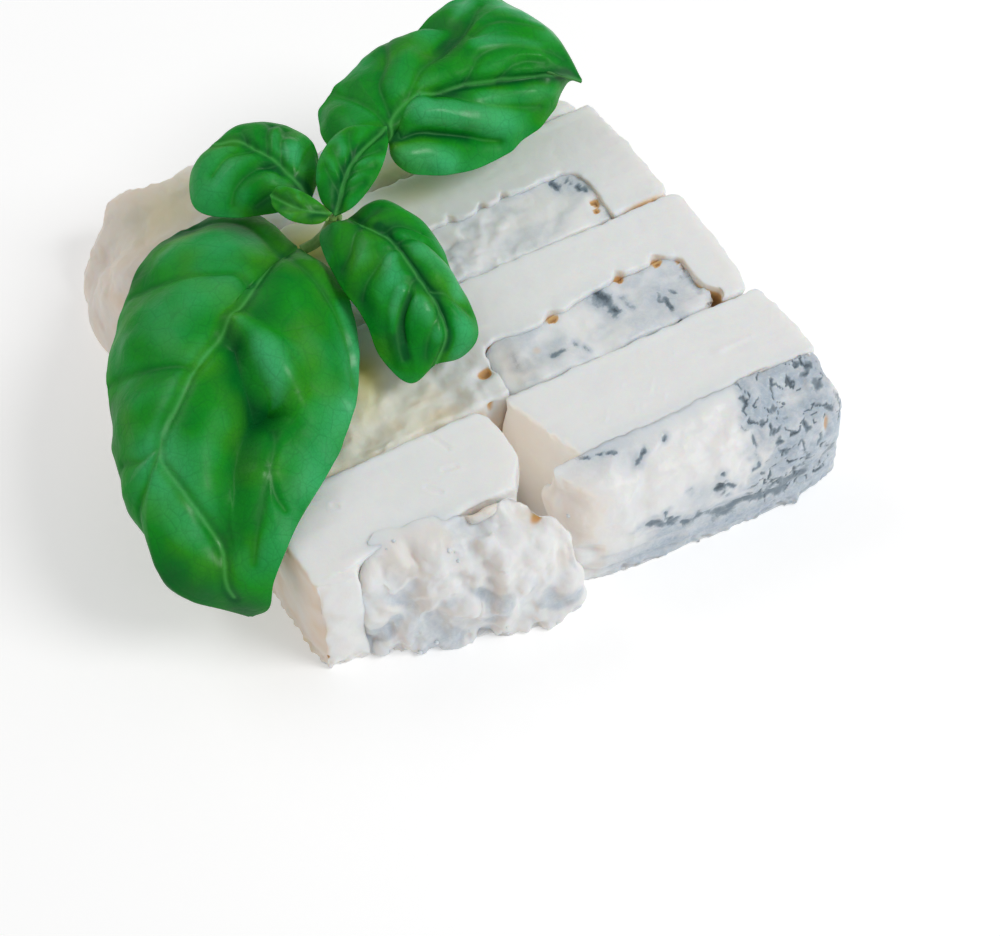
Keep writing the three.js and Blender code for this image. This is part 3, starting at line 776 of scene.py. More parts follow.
# %% Front right: mascarpone
skin = Skin("mascarpone_front_right", FINE, 10)
skin.crisp([(1, FRONT_CUT - HALF_GAP, BAR_TOP), (-1, skin.wall(-1), BAR_TOP)], CUT_EDGE)
satin_top(skin, 20)
ragged_edge(skin, 0.3, 22)
slanted = skin.spots @ np.array([[0.8, 0.6, 0.0], [-0.6, 0.8, 0.0], [0.0, 0.0, 1.0]])
nicks = ramp(noise(slanted, (0.9, 4.5, 9.0), 23, 1), 0.25, 0.7)
skin.push(0.12 * nicks * ramp(skin.normals[:, 2], 0.8, 0.97) * ramp(noise(skin.spots, 16.0, 24, 1), 0.0, 0.4))
broken_edge = skin.near((-0.5, -40.0, 28.0), (3.0, 5.5, 1.6))
skin.push(-1.0 * broken_edge * (0.8 + noise(skin.spots, 3.0, 25, 2)))
# Painted shade: warmer on the broken end and near the floor, in the dent at the seam and the crack.
warm_sides(skin, left=0.24, low=0.10, seed=3)
pits(skin, [((43.8, -44.2, 28.2), (4.4, 1.1, 1.2), 1.0)], painted_shade=0.0)
skin.paint_mask("warm", 0.95 * ramp(skin.near((43.8, -44.4, 28.0), (4.6, 1.3, 1.6)), 0.3, 0.7))
pits(skin, [((43.0, -36.5, 28.2), (3.4, 0.7, 1.0), 0.3)], painted_shade=0.0)
smear_knob = skin.near((40.5, -35.8, 28.0), (1.4, 1.1, 1.0))
smear_tail = skin.near((45.0, -35.6, 28.0), (3.0, 0.5, 1.0))
skin.push(0.45 * smear_knob + 0.3 * smear_tail)
# Painted glow on the shaded broken end, for light come through the bar.
at_break = ramp(-skin.normals[:, 0], 0.15, 0.7) * ramp(skin.spots[:, 0], 12.0, 6.0)
skin.paint_mask("glow", 0.95 * at_break * ramp(skin.spots[:, 2], 1.0, 17.0))
# A hollow in the broken end, painted orange brown inside as shade.
skin.push(-1.6 * skin.near((-4.6, -44.4, 13.5), (2.0, 2.6, 3.4)))
skin.paint_mask("recess_shade", 0.62 * ramp(skin.near((-4.6, -44.4, 13.5), (2.2, 2.4, 3.6)), 0.3, 0.8))
shade_cracks(skin, [FRONT_CUT - HALF_GAP])
skin.finish(mascarpone)

# %% [markdown]
# Its stripe shows the mould well: a net of blue grey curls at the right end, a dark streak that
# runs along the layer near the foot, mould deepened with painted shade, and between them smooth
# white cream. At the broken end a strand of it has been pulled down, with a hollow beside it
# painted brown as shade.

# %% Front right: gorgonzola
skin = Skin("gorgonzola_front_right", FINE, 8)
skin.crisp([(1, skin.wall(1), 27.7)], LAYER_EDGE)
join_seam(skin, SEAM_TOP, lap=0.8, sway=0.45, seed=70)
front_facing = ramp(-skin.normals[:, 1], 0.1, 0.6)
away_from_seam = ramp(skin.spots[:, 1], SEAM - 0.6, SEAM - 3.5)
left_part = ramp(skin.spots[:, 0], 34.0, 26.0)
low_part = ramp(skin.spots[:, 2] + 1.5 * noise(skin.spots, 9.0, 79, 1), 14.0, 10.0)
smeared(skin, away_from_seam * (1 - 0.55 * low_part) * (0.45 + 0.55 * left_part), 1.0, 10.0, 71)
layers = noise(skin.spots, (18.0, 8.0, 1.5), 73, 3)
broken = curds(skin.spots, 3.0, 72) - 0.4
skin.push(away_from_seam * (0.35 - 0.3 * left_part) * broken)
skin.push(front_facing * low_part * (0.5 * layers - 0.4))
strand = skin.stroke([(-3.4, -45.2, 20.0), (-2.8, -46.8, 15.5), (-2.0, -49.5, 11.5), (-1.2, -53.0, 7.0)])
beside = skin.stroke([(1.0, -47.5, 21.0), (0.8, -50.5, 15.0), (1.5, -54.0, 9.0)])
skin.push(1.7 * bell(strand, 1.9) - 0.9 * bell(beside, 1.7))
skin.push(skin.near((-3.8, -45.0, 20.5), (1.4, 1.6, 1.6)))
foot = ramp(skin.spots[:, 2], 4.0, 0.5) * front_facing
skin.push(foot * noise(skin.spots * (1, 1, 0.3), 3.0, 74, 2))
# Painted shade: warmer on the broken end and near the floor.
warm_sides(skin, left=0.3, low=0.0, seed=4)
skin.paint_mask("warm", 0.3 * skin.near((0.5, -49.0, 18.0), (3.0, 5.0, 8.0)))
# Painted glow on the shaded broken end, for light come through the bar.
at_break = ramp(-skin.normals[:, 0], 0.1, 0.7) * ramp(skin.spots[:, 0], 8.0, 4.0)
skin.paint_mask("glow", 0.7 * at_break * ramp(skin.spots[:, 2], 1.0, 15.0))
edge_wander = 3.5 * noise(skin.spots, 7.0, 75, 3)
wandered = skin.spots[:, 0] + edge_wander
right_end = ramp(wandered, 34.0, 40.0) * ramp(wandered, 61.0, 56.0)
patchy = 0.95 + 0.55 * noise(skin.spots, 4.5, 78, 2)
skin.paint_mask("blue_mould_and_shade", right_end * patchy.clip(0.15, 1))
# The streak is mould deepened by painted shade, and the foot is painted blue grey as shade.
mould_and_shade_streak = front_facing * low_part * ramp(wandered, 6.0, 14.0)
skin.paint_mask("blue_mould_and_shade", (0.6 + 0.4 * ramp(layers, -0.35, 0.35)) * mould_and_shade_streak)
skin.paint_mask("blue_mould_and_shade", 0.8 * front_facing * ramp(skin.spots[:, 2], 11.0, 4.0) * ramp(skin.spots[:, 0], -2.0, 8.0))
skin.blots("blue_mould_and_shade", [
    ((8.0, -46.5, 27.0), (10.0, 3.5, 4.0), 0.5), ((25.0, -58.0, 16.0), (7.0, 5.0, 3.5), 0.5),
])
net_area = right_end * ramp(skin.spots[:, 2], 2.0, 7.0)
vein_net(skin, net_area, 5.5, 0.14, 0.95, 76)
veins(skin, [
    ([(45.5, -47.5, 28), (44.0, -51.0, 27.5), (41.5, -53.5, 26.5), (39.5, -56.0, 25)], 0.36, 1.0, 1.4),
    ([(54.0, -45.5, 28), (51.5, -49.5, 27.5), (49.5, -50.5, 27.5), (45.0, -49.5, 27.5)], 0.30, 0.9, 1.4),
    ([(53.0, -50.8, 27.5), (53.6, -51.3, 27.3)], 0.8, 0.8, 0.8),
    ([(52.0, -54.8, 26.5), (54.5, -56.5, 25.5)], 0.5, 0.9, 1.0),
    ([(39.5, -52.0, 27), (37.3, -56.5, 26), (37.6, -57.5, 24), (38.6, -58.0, 22.5)], 0.36, 0.9, 1.2),
    ([(40.5, -57, 26), (41.2, -57.8, 22), (43.5, -58, 20), (46.5, -58, 21), (47.7, -57.5, 24)],
     0.34, 0.9, 1.4),
    ([(47.7, -57.5, 24), (47.0, -55.0, 26.5), (44.0, -55.0, 26.8), (41.5, -56.0, 25.8)], 0.3, 0.85, 1.4),
    ([(43.5, -58, 20), (44.2, -58.5, 16.5), (45.5, -59, 10)], 0.36, 0.95, 1.4),
    ([(46.5, -58, 21), (47.5, -58.5, 17.5)], 0.28, 0.85, 1.0),
    ([(49.5, -53, 27), (51.0, -56.5, 24.5), (50.5, -58, 20.0), (48.5, -58.5, 15.0)], 0.3, 0.7, 1.8),
    ([(36.5, -56, 25.5), (35.4, -57.5, 22.0), (36.2, -58, 18.0)], 0.3, 0.7, 1.6),
    ([(42.0, -58, 19), (40.0, -58.5, 16), (38.0, -59, 14.5)], 0.28, 0.8, 1.2),
    ([(28.0, -57, 20.5), (27.6, -57.5, 17), (28.2, -58, 14.5)], 0.45, 0.95, 1.2),
    ([(28.5, -57.5, 18), (30.5, -58, 16.3), (32.0, -58, 15)], 0.3, 0.85, 1.0),
    ([(21.3, -57, 19), (22.2, -57, 17.3)], 0.35, 0.7, 0.8),
    ([(16.0, -57, 16.5), (16.2, -57.5, 13.5), (17.5, -58, 10)], 0.32, 0.85, 1.0),
    ([(11.5, -57, 13.2), (16, -58, 12), (20, -58.5, 10.5), (25, -59, 9.5)], 0.7, 0.8, 1.6),
    ([(25, -59, 9.5), (30, -59, 8), (35, -59.5, 8), (40, -59.5, 9.5), (48, -59.5, 8.5)], 1.1, 0.72, 2.2),
    ([(30, -59.5, 12.5), (38, -59.5, 12.0), (47, -59.5, 13.0)], 0.45, 0.6, 2.0),
    ([(26, -59.5, 4), (34, -60, 2.5), (46, -60, 1.8), (57, -59, 2.5)], 0.4, 0.5, 1.8),
    ([(2.0, -58, 7.5), (5.5, -58, 8.2), (9.0, -58, 6.0)], 0.4, 0.4, 1.2),
    ([(2.3, -45.3, 28), (5.0, -46.0, 28), (9.0, -46.6, 28)], 0.28, 0.85, 0.9),
    ([(12.0, -51.0, 27), (14.2, -49.0, 27.5)], 0.42, 0.85, 1.0),
    ([(19.3, -48.2, 27.5), (19.8, -48.0, 27.5)], 0.35, 0.85, 0.4),
    ([(55.0, -58, 13), (53.0, -58.5, 11.5)], 0.9, 0.55, 1.4),
], 77)
pits(skin, [
    ((52.5, -57.5, 22.0), (0.8, 2.0, 3.0), 0.9), ((1.5, -57.5, 21.0), (0.9, 1.5, 0.8), 0.7),
    ((7.0, -57.5, 23.0), (0.7, 1.5, 1.0), 0.5),
], painted_shade=0.35)
pits(skin, [((-5.2, -46.2, 12.5), (1.5, 1.8, 3.0), 1.3)], painted_shade=0.7)
skin.finish(gorgonzola)

# %% [markdown]
# The second and third portions are wider, and their stripes are let into the front half of the
# bar, almost flush with its top. The soft mascarpone laps over the stripe's edge in an uneven
# bright lip. Where the lip draws back, the crack below shows as a small hollow, painted orange
# brown as shade.

# %% Lips over a let-in stripe
STRIPE_TOP = 27.0
STRIPE_EDGE = 4.6


def lap_lip(skin, wall, ends, pit_places, seed, lap=0.8, sway=0.7, painted_shade=0.6):
    """Moves the top edge of a pocket over its stripe, except in the pits.

    wall gives Y of the stripe's back by X, and ends are X of the lip's ends.
    """
    flat = skin.spots * (1, 0, 0)
    edge = np.interp(skin.spots[:, 0], *wall) + 0.3
    reach = lap + sway * (noise(flat, 8.0, seed, 2) + 0.35 * noise(flat, 3.2, seed + 1, 2))
    for place, width in pit_places:
        reach -= (reach + 0.9) * bell(skin.spots[:, 0] - place, width)
    inner = ramp(skin.spots[:, 0], ends[0], ends[0] + 2.0)
    inner *= ramp(skin.spots[:, 0], ends[1], ends[1] - 2.0)
    at_edge = inner * bell(skin.spots[:, 1] - edge, 1.3) * ramp(skin.spots[:, 2], 25.3, 27.0)
    skin.spots[:, 1] -= at_edge * reach
    skin.spots[:, 2] += 0.45 * at_edge * ramp(reach, -0.2, 0.8)
    skin.find_normals()
    # Painted orange brown shade in the crack below the lip.
    below = ramp(skin.spots[:, 2], 27.2, 25.8) * inner * ramp(np.abs(skin.spots[:, 1] - edge), 2.2, 0.8)
    skin.paint_mask("recess_shade", painted_shade * below)


def close_gaps(skin, wall, right, far):
    """Carries a stripe's back and its right end on under the lip, so that no trench is left."""
    level = skin.spots[:, 2] > 20.0
    rows = (skin.spots[:, 1] - skin.low[1]).astype(int).clip(0)
    reach = np.full(rows.max() + 1, -FAR_AWAY)
    np.maximum.at(reach, rows[level], skin.spots[level, 0])
    ends = np.where(reach > right - 12.0, reach, right)[rows]
    at_end = ramp(skin.spots[:, 0], ends - 4.0, ends - 0.8)
    skin.spots[:, 0] += far * at_end
    skin.spots[:, 2] += 0.6 * at_end * ramp(skin.spots[:, 2], 24.0, 26.0)
    edge = np.interp(skin.spots[:, 0], *wall)
    skin.spots[:, 1] += 0.7 * ramp(skin.spots[:, 1], edge - 2.0, edge - 0.2)
    skin.find_normals()


def back_wall(skin):
    """X and Y of a stripe's back, taken once a millimetre."""
    places = np.arange(skin.low[0] + 2.0, skin.high[0] - 2.0, 1.0)
    at_back = skin.wall(1)
    nearest = np.abs(skin.spots[:, 0][None] - places[:, None]).argmin(1)
    return places, at_back[nearest]


def crack_shadow(skin, wall, pit_places, amount=0.55):
    """Orange brown on a stripe's back edge, deepest where the lip draws back."""
    edge = np.interp(skin.spots[:, 0], *wall)
    at_edge = ramp(np.abs(skin.spots[:, 1] - edge), 1.1, 0.2)
    shown = np.full(len(edge), 0.25)
    for place, width in pit_places:
        shown = np.maximum(shown, bell(skin.spots[:, 0] - place, width))
    skin.paint_mask("recess_shade", amount * at_edge * shown)


print("stripe tops at", STRIPE_TOP, "mm, bar tops at", BAR_TOP, "mm")

# %% [markdown]
# The second stripe is the bluer one, with a dark streak across its middle. Its right end stands
# clear of the bar, so that the cheese below can be seen in the corner, painted orange as shade.

# %% Second portion: gorgonzola
SECOND_PITS = [(15.0, 1.5), (32.5, 1.1), (41.5, 1.3)]
skin = Skin("gorgonzola_second", COARSE, 6)
second_wall = back_wall(skin)
skin.crisp([(1, skin.wall(1), STRIPE_TOP), (-1, FRONT_CUT + HALF_GAP, STRIPE_TOP)], STRIPE_EDGE)
close_gaps(skin, second_wall, 46.0, 3.0)
skin.spots[:, 0] -= 1.2 * ramp(skin.spots[:, 0], 2.0, -0.5)
on_top = ramp(skin.normals[:, 2], 0.2, 0.8)
smeared(skin, on_top, 0.55, 8.0, 81)
skin.push(0.06 * noise(skin.spots, 1.4, 82, 2))
skin.push(0.5 * on_top * skin.near((8.0, -22.0, 27.0), (7.0, 2.5, 3.0)))
ragged_end = ramp(skin.spots[:, 0], 43.5, 45.5)
skin.push(ragged_end * (0.9 * noise(skin.spots, 2.8, 85, 3) - 0.4))
skin.paint_mask("blue_mould_and_shade", 0.55 * ramp(noise(skin.spots, (12.0, 8.0, 9.0), 83, 3), -0.25, 0.5))
skin.blots("blue_mould_and_shade", [
    ((38.0, -17.5, 27.0), (6.5, 5.5, 5.0), 0.8), ((27.5, -15.0, 27.0), (4.0, 5.0, 5.0), 0.5),
    ((11.0, -20.0, 27.0), (6.0, 4.0, 5.0), 0.4),
])
skin.paint_mask("warm", 0.3 * skin.near((2.0, -18.0, 27.0), (4.0, 5.0, 5.0)))
pits(skin, [
    ((15.2, -12.2, 27.3), (1.5, 0.8, 2.0), 0.9), ((32.6, -9.4, 27.3), (1.0, 1.0, 2.0), 0.9),
    ((41.6, -9.8, 27.3), (1.3, 0.9, 2.0), 0.9), ((48.4, -23.4, 27.0), (2.2, 1.6, 3.0), 2.0),
], painted_shade=0.8)
# Painted orange brown shade along the crack at the back and down the crack at the right end.
crack_shadow(skin, second_wall, SECOND_PITS)
end_crack = skin.stroke([(45.6, -10.6, 27), (46.8, -14.5, 27), (47.8, -17.8, 27)], 0.5, 86)
skin.paint_mask("recess_shade", 0.5 * ramp(end_crack, 0.7, 0.2))
skin.push(-0.7 * bell(end_crack, 0.6))
skin.push(0.6 * skin.near((45.5, -19.5, 27.0), (1.6, 3.0, 3.0)))
veins(skin, [
    ([(26.6, -10.5, 27), (26.9, -14.0, 27), (26.7, -16.5, 27)], 0.75, 0.95, 1.0),
    ([(25.0, -11.5, 27), (24.9, -13.5, 27)], 0.45, 0.5, 0.8),
    ([(30.7, -14.5, 27), (30.9, -17.0, 27)], 0.5, 0.45, 1.0),
    ([(38.5, -24.4, 26), (38.6, -21.0, 27), (38.2, -17.8, 27)], 0.5, 0.85, 1.2),
    ([(37.0, -16.2, 27), (36.6, -18.0, 27), (38.2, -19.5, 27)], 0.3, 0.6, 1.2),
    ([(44.5, -15.0, 27), (45.5, -15.1, 27)], 0.5, 0.8, 1.0),
    ([(40.7, -17.3, 27), (41.0, -17.5, 27)], 0.4, 0.7, 0.4),
    ([(46.0, -16.8, 27), (46.1, -17.0, 27)], 0.6, 0.4, 0.4),
    ([(43.0, -8.5, 27), (44.5, -9.5, 27)], 0.4, 0.5, 0.8),
    ([(10.0, -20.3, 27), (12.0, -20.6, 27)], 0.4, 0.7, 1.2),
    ([(16.3, -19.5, 27), (17.0, -19.3, 27)], 0.4, 0.7, 1.0),
    ([(17.2, -21.2, 27), (17.4, -22.2, 27)], 0.35, 0.6, 0.8),
    ([(3.3, -16.0, 27), (3.5, -19.5, 27)], 0.45, 0.4, 1.4),
], 84)
skin.paint_mask("warm", 0.6 * ramp(skin.near((8.5, -17.2, 27.0), (1.2, 1.0, 2.0)), 0.3, 0.8))
skin.finish(gorgonzola)

# %% [markdown]
# Left of its stripe the second bar is spread in creamy smears, with painted shade in their dips
# and painted yellow green where light comes through the basil. They are the same knife-dragged
# lumps as on the torn stripe, only lower. The end wall of its pocket is set back a little, so
# that the crack beside the stripe's end shows, painted orange brown as shade.

# %% Second portion: mascarpone
skin = Skin("mascarpone_second", COARSE, 5)
skin.crisp([(1, MIDDLE_CUT - HALF_GAP, BAR_TOP), (-1, FRONT_CUT + HALF_GAP, BAR_TOP)], CUT_EDGE)
satin_top(skin, 30)
ragged_edge(skin, 0.45, 32)
lap_lip(skin, second_wall, (-1.0, 46.5), SECOND_PITS, 36)
on_top = ramp(skin.normals[:, 2], 0.3, 0.8)
spread = ramp(skin.spots[:, 0], 0.0, -6.0) * ramp(skin.spots[:, 1], -7.0, -12.0) * on_top
smeared(skin, spread, 1.1, 7.0, 33)
# Painted shade: warm in the dips of the smears, on shaded sides and in the hollow at the front.
shade_in_dips = ramp(noise(skin.spots, (9.0, 4.5, 7.0), 37, 2), 0.0, 0.6)
warm_sides(skin, left=0.6, low=0.2, seed=5)
skin.paint_mask("warm", 0.4 * spread * shade_in_dips)
skin.paint_mask("warm", 0.6 * skin.near((-15.0, -21.5, 26.0), (5.0, 2.2, 4.0)))
# Painted light: yellow green where light comes through the basil.
below_leaf = skin.near((-25.0, -6.0, 27.0), (4.0, 5.5, 4.0))
below_edge = skin.near((-29.0, -14.0, 26.0), (5.0, 5.0, 4.0))
skin.paint_mask("leafy", 0.9 * below_leaf + 0.4 * below_edge)
skin.paint_mask("leafy", 0.22 * spread * ramp(skin.spots[:, 0], -6.0, -22.0))
pits(skin, [
    ((-3.4, -17.0, 26.6), (1.9, 1.3, 3.0), 1.8), ((-5.8, -25.2, 26.5), (1.3, 1.3, 4.0), 1.6),
], painted_shade=0.7)
end_wall = bell(skin.spots[:, 1] + 22.8, 2.4) * bell(skin.spots[:, 0] - 46.6, 1.6)
skin.spots[:, 0] += 2.6 * end_wall * ramp(skin.spots[:, 2], 18.0, 24.0)
skin.find_normals()
# Painted orange brown shade at the pocket's end, and warm shade down the crack at the front.
pocket_end = ramp(np.abs(skin.spots[:, 0] - 47.5), 3.2, 1.5) * ramp(skin.spots[:, 1], -16.0, -19.0)
skin.paint_mask("recess_shade", 0.6 * pocket_end * ramp(skin.spots[:, 2], 27.6, 26.0))
shade_cracks(skin, [MIDDLE_CUT - HALF_GAP])
at_front = ramp(np.abs(skin.spots[:, 1] - (FRONT_CUT + HALF_GAP)), 1.0, 0.3)
skin.paint_mask("warm", 0.8 * at_front * ramp(skin.spots[:, 2], 27.0, 24.0))
skin.finish(mascarpone)

# %% [markdown]
# The third stripe is whiter and lumpier. Its lip is deeply scalloped, and mould shows only at
# its right end.

# %% Third portion: gorgonzola
THIRD_PITS = [(16.5, 0.9), (22.0, 0.8), (9.0, 0.9)]
skin = Skin("gorgonzola_third", COARSE, 6)
third_wall = back_wall(skin)
skin.crisp([(1, skin.wall(1), STRIPE_TOP), (-1, MIDDLE_CUT + HALF_GAP, STRIPE_TOP)], STRIPE_EDGE)
close_gaps(skin, third_wall, 39.6, 3.2)
on_top = ramp(skin.normals[:, 2], 0.2, 0.8)
lumpy = ramp(skin.spots[:, 0], 26.0, 14.0)
smeared(skin, on_top * (0.4 + 0.6 * lumpy), 0.85, 6.5, 91)
skin.push(on_top * lumpy * 0.7 * (curds(skin.spots, 4.0, 90) - 0.4))
skin.push(0.06 * noise(skin.spots, 1.4, 92, 2))
skin.paint_mask("blue_mould_and_shade", 0.34 * ramp(noise(skin.spots, (9.0, 6.0, 9.0), 93, 3), -0.2, 0.5))
skin.paint_mask("blue_mould_and_shade", 0.7 * skin.near((36.0, 18.5, 27.0), (4.5, 2.8, 5.0)))
pits(skin, [((38.7, 10.8, 27.2), (0.9, 1.4, 2.0), 1.1), ((38.0, 8.7, 27.2), (0.5, 0.9, 2.0), 0.6)], painted_shade=0.9)
crack_shadow(skin, third_wall, THIRD_PITS, amount=0.12)
end_ridge = skin.stroke([(40.6, 17.5, 27), (41.2, 12.0, 27), (42.4, 6.6, 27)], 0.5, 96)
skin.push(0.5 * bell(end_ridge, 0.9))
skin.paint_mask("warm", 0.3 * ramp(end_ridge, 1.4, 0.5))
veins(skin, [
    ([(33.2, 19.6, 27), (33.6, 18.1, 27)], 0.45, 1.0, 0.6),
    ([(37.0, 19.4, 27), (36.6, 18.0, 27), (37.9, 16.8, 27)], 0.3, 0.95, 1.2),
    ([(35.9, 18.6, 27), (37.3, 19.0, 27)], 0.3, 0.9, 1.2),
    ([(37.9, 16.0, 27), (38.3, 15.5, 27)], 0.5, 1.0, 0.6),
], 94)
skin.finish(gorgonzola)

# %% [markdown]
# The third bar is made like the second, with less painted shade under its lip, so the lip is
# nearer to white. Much of its left half lies under the basil, and there the light through the
# leaves is painted on the cheese as yellow green.

# %% Third portion: mascarpone
skin = Skin("mascarpone_third", COARSE, 5)
skin.crisp([(1, BACK_CUT - HALF_GAP, BAR_TOP), (-1, MIDDLE_CUT + HALF_GAP, BAR_TOP)], CUT_EDGE)
satin_top(skin, 40)
ragged_edge(skin, 0.6, 42)
lap_lip(skin, third_wall, (-36.0, 36.0), THIRD_PITS, 46, lap=0.9, sway=0.7, painted_shade=0.12)
# Painted shade on shaded sides and in the cracks; painted light through the leaves.
warm_sides(skin, left=0.6, low=0.2, seed=6)
shade_cracks(skin, [MIDDLE_CUT + HALF_GAP, BACK_CUT - HALF_GAP])
skin.paint_mask("recess_shade", 0.45 * skin.near((48.0, 5.3, 27.0), (6.0, 0.8, 1.6)))
below_joint = skin.near((-22.0, 27.0, 28.0), (8.0, 7.0, 4.0))
beside_joint = skin.near((-8.0, 24.0, 28.0), (9.0, 7.0, 4.0))
skin.paint_mask("leafy", 0.9 * below_joint + 0.35 * beside_joint)
skin.paint_mask("leafy", 0.35 * skin.near((6.0, 31.0, 28.0), (8.0, 4.0, 4.0)))
skin.finish(mascarpone)

# %% [markdown]
# The back piece is an end cut of soft mascarpone that has slumped at its left corner. It is
# averaged for longer than the bars, so its edges are rounder, and then swells and sinks at the
# left corner as soft cheese does under its own weight.

# %% Back piece
skin = Skin("mascarpone_back", COARSE, 14)
smeared(skin, np.ones(len(skin.spots)), 0.7, 11.0, 51)
bulge = skin.near((-48.0, 66.0, 15.0), (4.5, 4.5, 14.0))
dip = skin.near((-56.5, 56.5, 16.0), (4.5, 4.5, 14.0))
skin.push(2.6 * bulge - 2.6 * dip)
skin.push(2.0 * skin.near((-64.0, 50.0, 12.0), (5.0, 6.0, 14.0)))
ragged_edge(skin, 0.4, 52)
# Painted shade, warmer towards the left end under the leaves; painted light through the leaves.
warm_sides(skin, left=0.6, low=0.3, seed=7)
skin.paint_mask("warm", 0.5 * ramp(skin.spots[:, 0], -20.0, -50.0))
below_upper = skin.near((5.0, 38.0, 28.0), (9.0, 5.0, 4.0))
left_corner = skin.near((-40.0, 55.0, 24.0), (12.0, 9.0, 10.0))
skin.paint_mask("leafy", 0.5 * below_upper + 0.35 * left_corner)
shade_cracks(skin, [BACK_CUT + HALF_GAP])
skin.finish(mascarpone)

# %% [markdown]
# A basil leaf is a thin, quilted sheet. Three space curves settle it: the midrib and the two
# edges, each from base to tip. The blade spans them, bulges between its side veins and sinks
# along them. Each vein is a path over the blade, given as fractions along it and across it, with
# -1 and 1 at the edges, so the same rule serves leaves of any size.

# %% A smooth space curve
CURVE_SAMPLES = 120


def smooth_curve(points):
    """Samples of a centripetal Catmull-Rom curve through some points, and the length up to each."""
    points = np.array(points, float)
    ends = np.vstack([2 * points[0] - points[1], points, 2 * points[-1] - points[-2]])
    pieces = []
    for p0, p1, p2, p3 in zip(ends, ends[1:], ends[2:], ends[3:]):
        d0, d1, d2 = (math.sqrt(np.linalg.norm(b - a)) for a, b in ((p0, p1), (p1, p2), (p2, p3)))
        start = ((p1 - p0) / d0 - (p2 - p0) / (d0 + d1) + (p2 - p1) / d1) * d1
        end = ((p2 - p1) / d1 - (p3 - p1) / (d1 + d2) + (p3 - p2) / d2) * d1
        t = np.linspace(0, 1, CURVE_SAMPLES, endpoint=False)[:, None]
        square = -3 * p1 + 3 * p2 - 2 * start - end
        cube = 2 * p1 - 2 * p2 + start + end
        pieces.append(p1 + start * t + square * t**2 + cube * t**3)
    curve = np.vstack([*pieces, points[-1:]])
    steps = np.linalg.norm(np.diff(curve, axis=0), axis=1)
    return curve, np.concatenate([[0.0], np.cumsum(steps)])


def along(curve, fractions):
    """Spots at fractions of a curve's length."""
    samples, lengths = curve
    wanted = np.asarray(fractions) * lengths[-1]
    return np.column_stack([np.interp(wanted, lengths, axis) for axis in samples.T])


# %% A leaf blade
BLADE_THICKNESS = 0.5
END_MARGIN = 0.006
FULL_WIDTH = 12.0
PATH_MARKS = 36
NO_LENGTH = 1e-9
CORNER_MERGE = 2e-6


class Blade:
    """The middle sheet of a leaf as a grid of spots: rows along the midrib, columns across."""

    def __init__(self, midrib, left, right, crown, rows, columns):
        self.rib = smooth_curve(midrib)
        self.left = smooth_curve([midrib[0], *left, midrib[-1]])
        self.right = smooth_curve([midrib[0], *right, midrib[-1]])
        self.crown = crown
        self.rows, self.columns = rows, columns
        self.u = np.repeat(np.linspace(0, 1, rows), columns)
        self.v = np.tile(np.linspace(-1, 1, columns), rows)
        self.flat = self.surface(self.u, self.v)
        self.spots = self.flat.copy()
        self.find_normals()
        self.width = np.linalg.norm(
            self.surface(self.u, np.ones_like(self.u)) - self.surface(self.u, -np.ones_like(self.u)), axis=1
        )

    def surface(self, u, v):
        u = END_MARGIN + (1 - 2 * END_MARGIN) * np.clip(u, 0, 1)
        rib = along(self.rib, u)
        edge = np.where((v > 0)[:, None], along(self.left, u), along(self.right, u))
        share = np.abs(v)[:, None]
        width = np.linalg.norm(rib - edge, axis=1)
        spots = rib * (1 - share) + edge * share
        spots[:, 2] += 4 * np.abs(v) * (1 - np.abs(v)) * self.crown * np.minimum(1, width / FULL_WIDTH)
        return spots

    def find_normals(self):
        grid = self.spots.reshape(self.rows, self.columns, 3)
        normal = np.cross(np.gradient(grid, axis=0), np.gradient(grid, axis=1)).reshape(-1, 3)
        self.normals = normal / np.maximum(np.linalg.norm(normal, axis=1, keepdims=True), NO_LENGTH)

    def away(self, path):
        """Distance in mm of every spot from a path given as fractions along and across."""
        path = np.array(path, float)
        track, lengths = smooth_curve(np.column_stack([path, np.zeros(len(path))]))
        pick = np.linspace(0, len(track) - 1, PATH_MARKS).astype(int)
        marks = self.surface(track[pick, 0], track[pick, 1])
        nearest = np.full(len(self.u), FAR_AWAY)
        for start, end in zip(marks[:-1], marks[1:]):
            run = end - start
            share = np.clip((self.flat - start) @ run / max(run @ run, NO_LENGTH), 0, 1)
            apart = self.flat - start - share[:, None] * run
            nearest = np.minimum(nearest, np.sqrt(np.einsum("ij,ij->i", apart, apart)))
        return nearest

    def push(self, amount):
        self.spots = self.spots + self.normals * np.asarray(amount)[:, None]
        self.find_normals()


